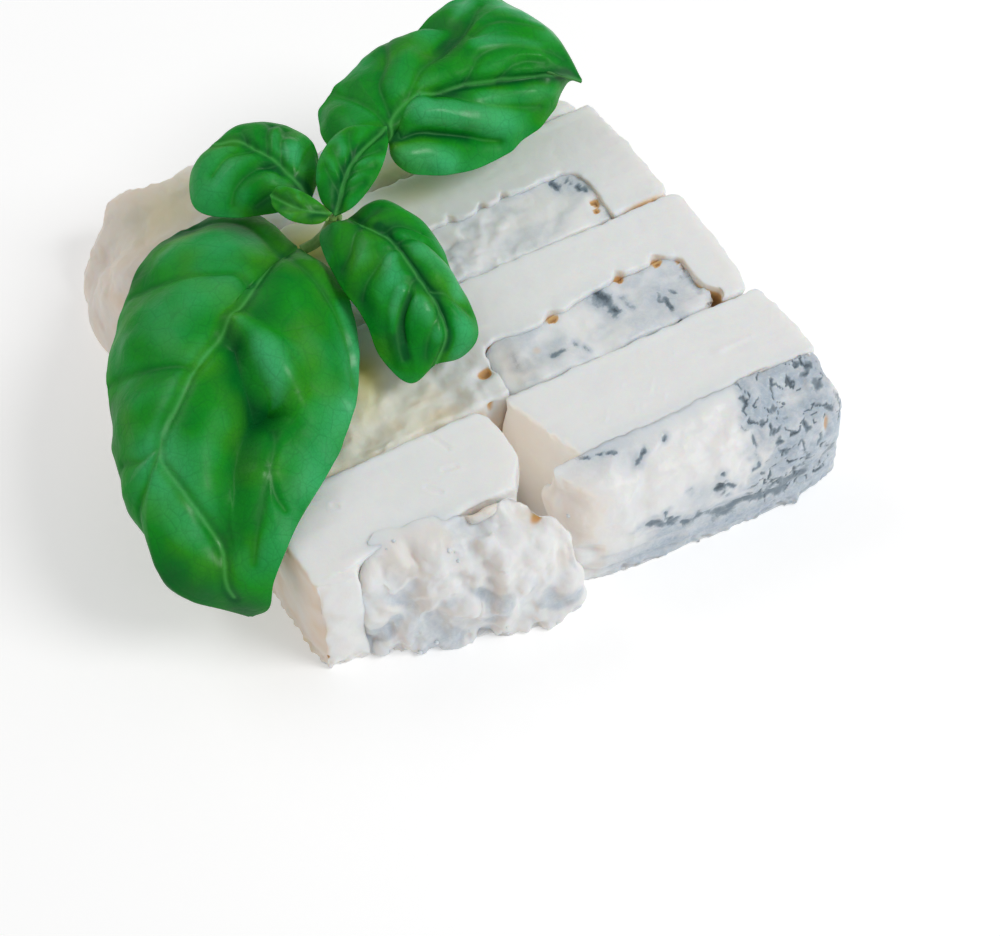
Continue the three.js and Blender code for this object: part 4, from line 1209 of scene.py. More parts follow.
def make_leaf(name, blade, masks, material):
    """Closes a blade with an underside and an edge, and gives it a UV map and its masks."""
    rows, columns = blade.rows, blade.columns
    count = rows * columns
    thin = 0.45 + 0.55 * ramp(1 - np.abs(blade.v), 0.0, 0.12)
    half = blade.normals * (0.5 * BLADE_THICKNESS * thin)[:, None]
    spots = np.vstack([blade.spots + half, blade.spots - half])
    index = np.arange(count).reshape(rows, columns)
    a, b = index[:-1, :-1].ravel(), index[1:, :-1].ravel()
    c, d = index[1:, 1:].ravel(), index[:-1, 1:].ravel()
    upper = np.column_stack([a, b, c, d])
    lower = upper[:, ::-1] + count
    rim = np.concatenate([index[0, :], index[1:, -1], index[-1, -2::-1], index[-2:0:-1, 0]])
    after = np.roll(rim, -1)
    edge = np.column_stack([rim, after, after + count, rim + count])
    faces = np.vstack([upper, lower, edge])
    mesh = bpy.data.meshes.new(name)
    mesh.from_pydata((spots * MM).tolist(), [], faces.tolist())
    mesh.update()
    placed = np.column_stack([np.tile(blade.u, 2), np.tile(0.5 + 0.5 * blade.v, 2)])
    corner = np.empty(len(mesh.loops), np.int32)
    mesh.loops.foreach_get("vertex_index", corner)
    mesh.uv_layers.new(name="blade").data.foreach_set("uv", placed[corner].astype(np.float32).ravel())
    underside = np.concatenate([np.zeros(count), np.ones(count)])
    layers = {label: np.tile(values, 2) for label, values in masks.items()}
    for label, values in {**layers, "under": underside}.items():
        layer = mesh.attributes.new(label, "FLOAT", "POINT")
        layer.data.foreach_set("value", values.astype(np.float32))
    solid = bmesh.new()
    solid.from_mesh(mesh)
    bmesh.ops.remove_doubles(solid, verts=solid.verts, dist=CORNER_MERGE)
    bmesh.ops.recalc_face_normals(solid, faces=solid.faces)
    solid.to_mesh(mesh)
    solid.free()
    mesh.shade_smooth()
    mesh.materials.append(material)
    piece = bpy.data.objects.new(name + "_blade", mesh)
    bpy.context.collection.objects.link(piece)
    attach(piece, "root")
    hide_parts(name)
    mesh.calc_loop_triangles()
    print(name, "triangles:", len(mesh.loop_triangles), "length mm:", round(blade.rib[1][-1], 1))


# %% [markdown]
# The relief follows the veins. A blade is folded first, then swells between the veins, crinkles,
# ruffles towards its edges and sinks into a groove along each vein, with the vein itself as a
# fine raised thread. The same distances paint the masks: painted highlight on the swellings,
# painted shade in the grooves, and a sheen where the wax lies smooth.

# %% Quilting and veins
RIB_GROOVE, RIB_WIDTH = 0.5, 1.2
SIDE_GROOVE, SIDE_WIDTH = 0.32, 0.9
RIB_THREAD, SIDE_THREAD, THREAD_HEIGHT = 0.42, 0.3, 0.12
QUILTED_WIDTH = 30.0


def dress_blade(blade, rib, side_veins, folds, seed, quilt, ruffle, reach, painted_light_and_shade, sheens):
    """Shapes a blade by its veins and gives its masks.

    Folds, painted light and shade strokes, and sheens are (path, width, amount) each.
    """
    to_rib = blade.away(rib)
    to_side = np.min([blade.away(path) for path in side_veins], axis=0)
    to_vein = np.minimum(to_rib, to_side)
    inside = ramp(1 - np.abs(blade.v), 0.0, 0.35)
    size = np.minimum(1, blade.width / QUILTED_WIDTH)
    blade.push(sum(depth * bell(blade.away(path), width) for path, width, depth in folds))
    swell = quilt * size * (0.35 + 0.65 * inside) * ramp(to_vein, -0.25 * reach, reach)
    crinkle = 0.10 * size * noise(blade.flat, 5.0, seed, 2) * ramp(to_vein, 0.5, 3.0)
    wave = ruffle * size * np.abs(blade.v) ** 3 * noise(blade.flat, 9.0, seed + 3, 2)
    groove = RIB_GROOVE * size * bell(to_rib, RIB_WIDTH) + SIDE_GROOVE * size * bell(to_side, SIDE_WIDTH)
    blade.push(swell + crinkle + wave - groove)
    fade = 0.4 + 0.6 * noise(blade.flat, 6.0, seed + 5, 1).clip(0, 1)
    thread = np.maximum(0.8 * bell(to_rib, RIB_THREAD), 0.5 * fade * bell(to_side, SIDE_THREAD))
    blade.push(THREAD_HEIGHT * size * thread)
    # Painted light and shade: random tone, shade along the veins, highlight on swellings, then strokes.
    tone = 0.34 * noise(blade.flat, 11.0, seed + 6, 2) - 0.45 * bell(to_side, SIDE_WIDTH)
    tone -= 0.4 * bell(to_rib - 0.9, 0.8)
    tone += 0.22 * ramp(np.minimum(to_vein, reach), 0.3 * reach, reach)
    for path, width, amount in painted_light_and_shade:
        tone += amount * bell(blade.away(path), width)
    shine = 0.03 + 0.08 * noise(blade.flat, 8.0, seed + 8, 2)
    for path, width, amount in sheens:
        streaks = 0.8 + 0.5 * noise(blade.flat, 2.5, seed + 9, 2)
        shine += 0.75 * amount * streaks * bell(blade.away(path), width)
    yellow = 0.6 * bell(blade.u, 0.12) + 0.5 * noise(blade.flat, 10.0, seed + 12, 2)
    return {
        "rib": thread, "light": tone.clip(0, 1), "dark": (-tone).clip(0, 1),
        "shine": shine.clip(0, 1), "yellow": yellow.clip(0, 0.7),
    }


# %% [markdown]
# Basil is a saturated green with a waxy sheen. Its veins are paler threads; the dark of the
# valleys beside them and the cool blue green light on the swellings between them are painted
# into the colour as shade and highlight, and a net of tiny cells covers the blade. Near the
# stalk it is more yellow. The wax lies on the green as a thin clear coat, more of it where the
# blade is smooth. The underside is paler and dull.

# %% Basil leaf finish
LEAF_GREEN = (0.002, 0.25, 0.018)
LEAF_FRESH = (0.008, 0.30, 0.012)
# The colour of a painted highlight on a lit swelling.
LEAF_HIGHLIGHT = (0.055, 0.50, 0.18)
LEAF_DARK = (0.001, 0.10, 0.018)
LEAF_YELLOW = (0.075, 0.33, 0.002)
RIB_GREEN = (0.10, 0.47, 0.11)
UNDER_GREEN = (0.08, 0.28, 0.07)
CELL_HEIGHT = 0.000016
NET_HEIGHT = 0.00003

leaf_green, tree, shader = new_material("basil_leaf")
place = add_node(tree, "ShaderNodeTexCoord").outputs["Object"]
patch = use_group(tree, grain_group, Position=place, Cloud_Size=9.0, Grain_Size=0.5, Grain_Height=0.012)
cells = add_node(tree, "ShaderNodeTexVoronoi", {"feature": "DISTANCE_TO_EDGE"}, Vector=place, Scale=800.0)
net = add_node(tree, "ShaderNodeTexVoronoi", {"feature": "DISTANCE_TO_EDGE"}, Vector=place, Scale=260.0)
# The masks light and dark are painted highlight and painted shade, with some random tone.
masked = {
    name: maths(tree, "MULTIPLY", attribute(tree, name), strength)
    for name, strength in (("light", 0.9), ("dark", 0.95), ("rib", 0.6), ("under", 0.8))
}
cell_edge = fitted(tree, cells.outputs["Distance"], 0.0, 0.10, 0.14, 0.0)
net_line = fitted(tree, net.outputs["Distance"], 0.0, 0.05, 0.16, 0.0)
colour = blend_colour(tree, patch.outputs["Clouds"], LEAF_GREEN, LEAF_FRESH)
for share, tint in (
    (attribute(tree, "yellow"), LEAF_YELLOW), (masked["light"], LEAF_HIGHLIGHT), (masked["dark"], LEAF_DARK),
    (cell_edge, LEAF_DARK), (net_line, LEAF_DARK), (masked["rib"], RIB_GREEN), (masked["under"], UNDER_GREEN),
):
    colour = blend_colour(tree, share, colour, tint)
tree.links.new(colour, shader.inputs["Base Color"])
gloss = fitted(tree, patch.outputs["Clouds"], 0.0, 1.0, 0.42, 0.52)
duller = maths(tree, "MULTIPLY", attribute(tree, "under"), 0.2)
tree.links.new(maths(tree, "ADD", gloss, duller), shader.inputs["Roughness"])
cell_height = maths(tree, "MULTIPLY", fitted(tree, cells.outputs["Distance"], 0.0, 0.2), CELL_HEIGHT)
net_height = maths(tree, "MULTIPLY", fitted(tree, net.outputs["Distance"], 0.0, 0.15), NET_HEIGHT)
height = maths(tree, "ADD", patch.outputs["Height"], maths(tree, "ADD", cell_height, net_height))
bump = add_node(tree, "ShaderNodeBump", Height=height, Strength=1.0, Distance=1.0)
tree.links.new(bump.outputs[0], shader.inputs["Normal"])
wax_film = fitted(tree, patch.outputs["Clouds"], 0.0, 1.0, 0.75, 1.0)
wax = maths(tree, "MULTIPLY", attribute(tree, "shine"), wax_film)
tree.links.new(wax, shader.inputs["Coat Weight"])
shader.inputs["Coat Roughness"].default_value = 0.3
shader.inputs["Subsurface Weight"].default_value = 0.08
shader.inputs["Subsurface Radius"].default_value = (0.3, 1.0, 0.3)
shader.inputs["Subsurface Scale"].default_value = 0.001
shader.inputs["Specular IOR Level"].default_value = 0.1

# %% [markdown]
# The largest leaf arches over the left end of the slab and its tip curls under. A deep fold runs
# down its right half from a sharp crest, and its left half swells between three side veins.

# %% The large leaf
blade = Blade(
    midrib=[(-25, 22, 36), (-42, 12, 41), (-57, 1, 42), (-68, -10, 40), (-76, -20, 34), (-78, -29.5, 24),
            (-66, -38.5, 14)],
    left=[(-22, 8, 37), (-26, -7, 33), (-38, -22, 30.5), (-53, -34, 30.5), (-60.5, -39, 25),
          (-63, -40.5, 18)],
    right=[(-30, 39, 33), (-47, 39, 33), (-65, 23, 32), (-74, 3, 30), (-78, -13, 27)],
    crown=2.0, rows=300, columns=190,
)
masks = dress_blade(
    blade,
    rib=[(0.0, 0.0), (0.08, 0.07), (0.18, 0.1), (0.29, 0.07), (0.39, 0.03), (0.48, 0.02), (0.56, -0.02),
         (0.66, 0.2), (0.74, 0.38), (0.82, 0.5), (0.92, 0.4)],
    side_veins=[
        [(0.06, -0.1), (0.12, -0.6), (0.18, -0.85), (0.23, -0.98)],
        [(0.17, 0.08), (0.19, -0.17), (0.24, -0.33), (0.32, -0.62), (0.39, -0.93)],
        [(0.39, 0.03), (0.42, -0.13), (0.48, -0.43), (0.56, -0.97)],
        [(0.57, -0.02), (0.63, -0.27), (0.68, -0.73)],
        [(0.56, -0.02), (0.64, -0.08), (0.76, -0.43), (0.86, -0.6)],
        [(0.05, 0.1), (0.09, 0.38), (0.21, 0.8), (0.31, 0.92), (0.39, 0.97)],
        [(0.53, 0.62), (0.62, 0.67), (0.74, 0.73), (0.83, 0.77)],
        [(0.61, 0.65), (0.68, 0.78), (0.71, 0.87)],
    ],
    folds=[
        ([(0.34, 0.22), (0.42, 0.34), (0.49, 0.49), (0.47, 0.57)], 3.6, -3.0),
        ([(0.48, 0.58), (0.51, 0.5), (0.55, 0.45), (0.61, 0.47), (0.69, 0.5), (0.77, 0.52)], 4.6, -3.2),
        ([(0.28, 0.12), (0.31, 0.28), (0.36, 0.44), (0.41, 0.56), (0.45, 0.64)], 2.4, 2.6),
        ([(0.49, 0.72), (0.55, 0.62), (0.62, 0.62)], 3.2, 1.6),
        ([(0.45, 0.12), (0.56, 0.18), (0.66, 0.3)], 5.0, 1.3),
        ([(0.22, -0.15), (0.27, -0.35)], 7.0, 1.0),
        ([(0.12, 0.35), (0.22, 0.45)], 7.0, 1.2),
    ],
    seed=101, quilt=1.7, ruffle=1.0, reach=9.0,
    painted_light_and_shade=[
        ([(0.34, 0.2), (0.40, 0.30), (0.47, 0.45)], 3.6, -1.0),
        ([(0.48, 0.58), (0.53, 0.48), (0.61, 0.47), (0.69, 0.5), (0.77, 0.52)], 4.2, -0.75),
        ([(0.05, 0.15), (0.08, 0.18), (0.18, 0.2), (0.26, 0.25)], 5.0, -0.55),
        ([(0.35, -0.98), (0.29, -0.98), (0.23, -0.98), (0.12, -0.95)], 3.5, -0.8),
        ([(0.84, 0.0), (0.92, 0.1), (0.98, 0.2)], 7.0, -0.85),
        ([(0.60, -0.95), (0.72, -0.95), (0.84, -0.9)], 3.0, -0.6),
        ([(0.28, 0.13), (0.31, 0.28), (0.36, 0.42), (0.41, 0.53), (0.45, 0.60)], 1.2, 0.8),
        ([(0.59, 0.05), (0.67, 0.23), (0.74, 0.38), (0.79, 0.5)], 5.5, 0.55),
        ([(0.57, -0.03), (0.5, -0.02), (0.44, 0.0), (0.35, 0.05)], 2.6, 0.5),
        ([(0.27, -0.33), (0.21, -0.13), (0.19, 0.05)], 4.5, 0.45),
        ([(0.16, -0.57), (0.12, -0.37), (0.1, -0.18)], 4.0, 0.45),
        ([(0.22, 0.9), (0.28, 0.95), (0.36, 0.98), (0.44, 0.97)], 3.0, 0.7),
        ([(0.49, 0.9), (0.6, 0.95), (0.69, 0.97), (0.80, 0.9)], 5.0, 0.45),
    ],
    sheens=[
        ([(0.59, 0.05), (0.67, 0.23), (0.74, 0.38), (0.79, 0.5)], 4.5, 0.85),
        ([(0.57, -0.03), (0.5, -0.02), (0.44, 0.0)], 2.2, 0.8),
        ([(0.21, -0.13), (0.19, 0.05)], 3.0, 0.7), ([(0.14, -0.45), (0.1, -0.18)], 3.0, 0.7),
        ([(0.28, 0.95), (0.36, 0.98), (0.44, 0.97)], 2.5, 0.8), ([(0.36, 0.42), (0.45, 0.6)], 2.0, 0.8),
        ([(0.29, 0.14), (0.33, 0.3)], 2.5, 0.7), ([(0.62, 0.66), (0.74, 0.73)], 1.6, 0.7),
    ],
)
make_leaf("basil_leaf_large", blade, masks, leaf_green)

# %% [markdown]
# The next leaf stands up behind the slab. Its upper half is puckered, with a dark valley under
# the midrib, and two lobes swell at its base.

# %% The upper leaf
blade = Blade(
    midrib=[(1, 32, 45), (14, 38, 49), (30, 37, 49), (46, 30, 42)],
    left=[(-9, 33, 44), (-7, 48, 43), (3, 52, 45), (22, 59, 46), (39, 57, 46), (46, 42, 45)],
    right=[(1, 27, 42), (6, 25, 39), (20, 24, 36), (37, 29, 37), (45, 34, 39)],
    crown=2.0, rows=240, columns=160,
)
masks = dress_blade(
    blade,
    rib=[(0.0, 0.1), (0.09, 0.2), (0.18, 0.1), (0.25, -0.03), (0.32, -0.12), (0.44, -0.17), (0.59, -0.25),
         (0.76, -0.3), (0.9, -0.18), (1.0, 0.0)],
    side_veins=[
        [(0.20, 0.08), (0.27, 0.13), (0.38, 0.27), (0.51, 0.35), (0.61, 0.53), (0.68, 0.82)],
        [(0.09, 0.27), (0.16, 0.4), (0.23, 0.63), (0.29, 0.97)],
        [(0.13, 0.22), (0.25, 0.40), (0.36, 0.62), (0.45, 0.92)],
        [(0.06, -0.2), (0.10, -0.5), (0.18, -0.5), (0.28, -0.6), (0.38, -0.7), (0.52, -0.88)],
        [(0.32, -0.13), (0.44, -0.4), (0.6, -0.62), (0.72, -0.8)],
        [(0.44, -0.15), (0.56, 0.1), (0.66, 0.15), (0.78, 0.2), (0.91, 0.37)],
        [(0.59, -0.25), (0.70, 0.0), (0.82, 0.1)],
        [(0.6, 0.4), (0.69, 0.48), (0.75, 0.5), (0.83, 0.62)],
    ],
    folds=[
        ([(0.30, -0.16), (0.44, -0.24), (0.59, -0.33), (0.76, -0.38)], 2.0, -1.5),
        ([(0.10, -0.5), (0.18, -0.5), (0.28, -0.6), (0.38, -0.7), (0.5, -0.85)], 2.0, -1.4),
        ([(0.11, -0.75), (0.21, -0.8), (0.28, -0.9)], 3.2, 1.5),
        ([(0.23, -0.25), (0.33, -0.4), (0.44, -0.52)], 4.0, 1.3),
        ([(0.43, 0.83), (0.36, 0.5), (0.27, 0.3)], 4.5, 1.6),
        ([(0.52, 1.0), (0.56, 0.8), (0.56, 0.6), (0.48, 0.5)], 3.5, -2.8),
        ([(0.57, 0.2), (0.68, 0.18), (0.8, 0.2)], 2.2, 1.0),
        ([(0.66, 0.45), (0.75, 0.5), (0.83, 0.62)], 2.2, 1.0),
        ([(0.12, 0.62), (0.2, 0.8)], 4.0, 1.2),
    ],
    seed=111, quilt=1.3, ruffle=1.1, reach=6.0,
    painted_light_and_shade=[
        ([(0.30, -0.18), (0.44, -0.25), (0.59, -0.33), (0.76, -0.38), (0.9, -0.25)], 1.8, -0.9),
        ([(0.08, -0.5), (0.18, -0.52), (0.28, -0.62), (0.38, -0.72)], 1.6, -0.8),
        ([(0.52, 0.95), (0.58, 0.85), (0.6, 0.62), (0.52, 0.45)], 3.5, -0.7),
        ([(0.04, 0.5), (0.08, 0.75), (0.14, 0.9)], 3.5, -0.55),
        ([(0.9, -0.6), (0.8, -0.9)], 4.0, -0.4),
        ([(0.23, -0.25), (0.33, -0.4), (0.44, -0.52), (0.54, -0.7)], 4.0, 0.75),
        ([(0.11, -0.72), (0.21, -0.78), (0.28, -0.9)], 2.4, 0.6),
        ([(0.74, 0.82), (0.8, 0.83), (0.86, 0.8)], 3.5, 0.7),
        ([(0.62, 0.75), (0.66, 0.9)], 1.8, 0.7),
        ([(0.57, 0.22), (0.68, 0.2), (0.8, 0.24)], 1.4, 0.5),
        ([(0.5, -0.3), (0.7, -0.48), (0.85, -0.5)], 2.6, 0.4),
        ([(0.12, 0.3), (0.2, 0.55), (0.26, 0.8)], 2.4, 0.4),
    ],
    sheens=[
        ([(0.23, -0.25), (0.33, -0.4), (0.44, -0.52)], 3.2, 0.85),
        ([(0.11, -0.72), (0.21, -0.78)], 2.0, 0.8), ([(0.74, 0.82), (0.8, 0.83), (0.86, 0.8)], 3.0, 0.85),
        ([(0.62, 0.75), (0.66, 0.9)], 1.6, 0.8), ([(0.6, 0.22), (0.8, 0.24)], 1.6, 0.6),
        ([(0.7, -0.5), (0.85, -0.5)], 2.5, 0.5),
    ],
)
make_leaf("basil_leaf_upper", blade, masks, leaf_green)

# %% [markdown]
# The leaf towards the front is strongly quilted: each field between two side veins is a pillow.
# Its tip is folded down, so it ends in a blunt corner.

# %% The lower leaf
blade = Blade(
    midrib=[
        (-15.4, 18.4, 43.4), (-13, 12, 45.5), (-11, 5, 46), (-10, -4, 44), (-10, -12, 39), (-13, -14, 32),
    ],
    left=[(-7, 19, 44), (-2, 11, 41), (-2, -2, 38), (-3, -13, 34), (-7, -14, 31)],
    right=[(-21, 19, 42), (-23, 10, 41), (-22, -3, 38), (-22, -9, 34), (-19, -15, 31)],
    crown=1.5, rows=200, columns=130,
)
masks = dress_blade(
    blade,
    rib=[(0.0, 0.0), (0.07, -0.08), (0.15, -0.05), (0.24, 0.03), (0.32, 0.03), (0.41, -0.02), (0.51, -0.02),
         (0.61, 0.0), (0.7, 0.03), (0.79, 0.03), (0.89, 0.08), (1.0, 0.1)],
    side_veins=[
        [(0.08, 0.0), (0.14, 0.35), (0.16, 0.6)],
        [(0.22, 0.03), (0.28, 0.4), (0.36, 0.7)],
        [(0.31, 0.05), (0.34, 0.23), (0.39, 0.5), (0.45, 0.65), (0.51, 0.85)],
        [(0.61, 0.0), (0.64, 0.28), (0.67, 0.5), (0.72, 0.8)],
        [(0.53, -0.04), (0.59, -0.33), (0.65, -0.57), (0.7, -0.67), (0.8, -0.8)],
        [(0.34, 0.0), (0.36, -0.22), (0.41, -0.47), (0.45, -0.72), (0.49, -0.88)],
        [(0.13, -0.08), (0.2, -0.4), (0.29, -0.67), (0.33, -0.85)],
        [(0.72, 0.03), (0.8, -0.3), (0.87, -0.5)],
    ],
    folds=[
        ([(0.57, -0.35), (0.63, -0.58), (0.7, -0.70), (0.8, -0.82)], 1.2, 0.9),
        ([(0.62, -0.27), (0.68, -0.5), (0.75, -0.6)], 1.2, -0.8),
        ([(0.66, -0.15), (0.78, -0.2)], 2.6, 0.9),
        ([(0.45, 0.4), (0.58, 0.55)], 3.0, 0.8),
        ([(0.24, 0.14), (0.41, 0.09), (0.61, 0.12), (0.79, 0.14)], 1.1, -0.8),
    ],
    seed=121, quilt=1.8, ruffle=0.6, reach=4.2,
    painted_light_and_shade=[
        ([(0.2, 0.14), (0.41, 0.07), (0.61, 0.10), (0.79, 0.13), (0.9, 0.18)], 1.1, -0.9),
        ([(0.60, -0.28), (0.66, -0.5), (0.71, -0.62), (0.8, -0.72)], 0.9, -0.8),
        ([(0.04, 0.3), (0.12, 0.5), (0.25, 0.3)], 2.6, -0.45),
        ([(0.32, -0.95), (0.45, -0.9), (0.55, -0.85)], 2.2, -0.6),
        ([(0.2, -0.3), (0.3, -0.35)], 2.6, -0.3),
        ([(0.56, -0.33), (0.62, -0.56), (0.68, -0.68)], 0.8, 0.8),
        ([(0.65, -0.14), (0.72, -0.12), (0.8, -0.14)], 1.8, 0.75),
        ([(0.44, 0.3), (0.51, 0.55), (0.58, 0.7), (0.66, 0.65)], 2.2, 0.7),
        ([(0.37, -0.1), (0.42, -0.25), (0.5, -0.35)], 1.8, 0.6),
        ([(0.8, 0.5), (0.88, 0.7)], 3.0, 0.6),
        ([(0.22, -0.45), (0.33, -0.5)], 1.8, 0.4),
        ([(0.31, 0.2), (0.35, 0.35), (0.40, 0.55)], 0.8, 0.6),
    ],
    sheens=[
        ([(0.65, -0.14), (0.72, -0.12), (0.8, -0.14)], 1.6, 0.9),
        ([(0.44, 0.3), (0.51, 0.55), (0.58, 0.7), (0.66, 0.65)], 2.0, 0.8),
        ([(0.37, -0.1), (0.42, -0.25)], 1.5, 0.8), ([(0.56, -0.33), (0.62, -0.56)], 1.0, 0.9),
        ([(0.12, 0.4), (0.2, 0.55)], 1.5, 0.5), ([(0.22, -0.45), (0.33, -0.5)], 1.8, 0.5),
    ],
)
make_leaf("basil_leaf_lower", blade, masks, leaf_green)

# %% [markdown]
# The leaf on the left is seen nearly from its tip. Its rear half is the better lit one.

# %% The left leaf
blade = Blade(
    midrib=[(-20, 25.5, 44.5), (-23, 31, 47), (-26, 39, 48), (-31, 48, 45)],
    left=[(-26, 27, 43), (-35, 31, 42), (-40, 37, 41), (-37, 46, 42)],
    right=[(-15, 32, 44.5), (-13, 39, 45), (-17, 46, 45.5), (-24, 50, 45)],
    crown=1.5, rows=160, columns=120,
)
masks = dress_blade(
    blade,
    rib=[(0.0, 0.0), (0.10, -0.12), (0.26, -0.13), (0.43, -0.13), (0.58, -0.1), (0.83, -0.2), (1.0, 0.0)],
    side_veins=[
        [(0.18, -0.13), (0.28, -0.52), (0.36, -0.93)], [(0.35, -0.13), (0.46, -0.4), (0.53, -0.78)],
        [(0.49, -0.12), (0.58, -0.4), (0.62, -0.8)], [(0.68, -0.12), (0.78, -0.5)],
        [(0.10, 0.0), (0.22, 0.4), (0.30, 0.8)], [(0.38, -0.1), (0.46, 0.2), (0.48, 0.55), (0.44, 0.8)],
        [(0.6, -0.1), (0.7, 0.23), (0.66, 0.6)],
    ],
    folds=[
        ([(0.27, -0.3), (0.42, -0.5)], 1.6, 0.7), ([(0.45, -0.45), (0.58, -0.6)], 1.4, 0.6),
        ([(0.15, 0.25), (0.3, 0.3)], 2.6, 1.0), ([(0.3, 0.05), (0.42, 0.08)], 1.4, -0.7),
    ],
    seed=131, quilt=1.3, ruffle=0.6, reach=3.8,
    painted_light_and_shade=[
        ([(0.38, -0.42), (0.24, -0.38)], 1.8, 0.7), ([(0.52, -0.5), (0.44, -0.3)], 1.2, 0.5),
        ([(0.7, 0.4), (0.55, 0.6), (0.4, 0.7)], 3.5, 0.35), ([(0.2, 0.15), (0.3, 0.25)], 1.6, 0.5),
        ([(0.14, -0.6), (0.1, -0.3), (0.05, 0.1)], 2.4, -0.7), ([(0.30, 0.02), (0.44, 0.05)], 1.2, -0.6),
        ([(0.2, 0.8), (0.32, 0.9)], 2.5, -0.5), ([(0.6, -0.85), (0.8, -0.8)], 2.2, -0.5),
    ],
    sheens=[
        ([(0.38, -0.42), (0.24, -0.38)], 1.5, 0.8), ([(0.52, -0.5), (0.44, -0.3)], 1.2, 0.7),
        ([(0.2, 0.15), (0.3, 0.25)], 1.6, 0.7), ([(0.6, 0.4), (0.5, 0.55)], 2.5, 0.4),
    ],
)
make_leaf("basil_leaf_left", blade, masks, leaf_green)

# %% [markdown]
# Two young leaves stand over the joint. They are still half folded and fresher in colour.

# %% The two young leaves
blade = Blade(
    midrib=[(-18.2, 18, 46.4), (-11, 25, 51), (0.5, 31.5, 50)],
    left=[(-19.2, 22, 47.6), (-16.5, 28.5, 50.5), (-7.5, 34, 51)],
    right=[(-14.5, 17.2, 48), (-8, 20, 50), (-2, 26.5, 50.3)],
    crown=1.0, rows=130, columns=96,
)
masks = dress_blade(
    blade, rib=[(0.0, 0.0), (0.5, 0.0), (1.0, 0.0)],
    side_veins=[
        [(0.15, 0.0), (0.35, 0.7)], [(0.33, 0.0), (0.52, 0.75)], [(0.5, 0.0), (0.7, 0.7)],
        [(0.15, 0.0), (0.35, -0.7)], [(0.33, 0.0), (0.52, -0.75)], [(0.5, 0.0), (0.7, -0.7)],
    ],
    folds=[([(0.1, 0.0), (0.5, 0.0), (0.9, 0.0)], 1.6, -0.8)],
    seed=141, quilt=1.6, ruffle=0.4, reach=2.6,
    painted_light_and_shade=[
        ([(0.3, -0.4), (0.5, -0.45)], 1.8, 0.5), ([(0.35, 0.5), (0.55, 0.4)], 1.4, 0.35),
        ([(0.05, 0.3), (0.2, 0.75)], 1.8, -0.6), ([(0.75, -0.7), (0.9, -0.4)], 1.5, -0.5),
        ([(0.3, 0.12), (0.7, 0.12)], 0.9, -0.5),
    ],
    sheens=[([(0.3, -0.4), (0.5, -0.45)], 1.5, 0.7), ([(0.35, 0.5), (0.55, 0.4)], 1.2, 0.6)],
)
make_leaf("basil_leaf_centre", blade, masks, leaf_green)

blade = Blade(
    midrib=[(-18.9, 17.4, 48.4), (-24.6, 19.6, 50.6), (-28, 27, 49)],
    left=[(-22.3, 16.2, 48.4), (-27, 18.8, 49), (-28.7, 24, 49)],
    right=[(-20.6, 20.4, 49.6), (-23, 24, 50.6), (-26, 27, 50.5)],
    crown=0.6, rows=90, columns=64,
)
masks = dress_blade(
    blade, rib=[(0.0, 0.0), (0.5, 0.0), (1.0, 0.0)],
    side_veins=[
        [(0.2, 0.0), (0.45, 0.7)], [(0.2, 0.0), (0.45, -0.7)],
        [(0.45, 0.0), (0.7, 0.6)], [(0.45, 0.0), (0.7, -0.6)],
    ],
    folds=[([(0.1, 0.0), (0.5, 0.0), (0.9, 0.0)], 1.2, -0.6)],
    seed=151, quilt=1.6, ruffle=0.6, reach=2.0,
    painted_light_and_shade=[([(0.4, 0.4), (0.6, 0.4)], 1.0, 0.5), ([(0.3, -0.4), (0.5, -0.5)], 0.9, 0.4),
           ([(0.1, 0.5), (0.3, 0.8)], 1.0, -0.5)],
    sheens=[([(0.4, 0.4), (0.6, 0.4)], 1.0, 0.7), ([(0.3, -0.4), (0.5, -0.5)], 0.9, 0.6)],
)
masks["yellow"] = np.clip(masks["yellow"] + 0.3, 0, 1)
make_leaf("basil_leaf_tiny", blade, masks, leaf_green)

# %% [markdown]
# The stalks are short and mostly hidden. They keep the solid's route: a fine skin is wrapped
# round it, smoothed and given the lengthwise swelling of a fresh stalk.

# %% Stem
STALK_VOXEL = 0.2
STALK_SWELLING = 0.08
stalk_green, tree, shader = new_material("basil_stem")
place = add_node(tree, "ShaderNodeTexCoord").outputs["Object"]
patch = use_group(tree, grain_group, Position=place, Cloud_Size=4.0, Grain_Size=0.4, Grain_Height=0.03)
colour = blend_colour(tree, patch.outputs["Clouds"], (0.16, 0.36, 0.07), (0.30, 0.50, 0.14))
tree.links.new(colour, shader.inputs["Base Color"])
tree.links.new(fitted(tree, patch.outputs["Clouds"], 0.0, 1.0, 0.45, 0.35), shader.inputs["Roughness"])
bump = add_node(tree, "ShaderNodeBump", Height=patch.outputs["Height"], Strength=1.0, Distance=1.0)
tree.links.new(bump.outputs[0], shader.inputs["Normal"])
shader.inputs["Subsurface Weight"].default_value = 0.15
shader.inputs["Subsurface Scale"].default_value = 0.001

skin = Skin("basil_stem", STALK_VOXEL, 6)
skin.push(STALK_SWELLING * noise(skin.spots, 3.0, 161, 2))
skin.masks = {}
skin.finish(stalk_green)

# %% [markdown]
# Crumbly cheese sheds crumbs where it was torn: along the ragged foot of the two front stripes,
# and on the seam where they meet the smooth cheese. All crumbs follow one rule, so a Geometry
# Nodes tree scatters one lumpy grain over those faces, each turned and sized at random. A share
# painted on the faces says where. The result is turned into one real mesh, and the faces that
# carried the crumbs are taken away again.

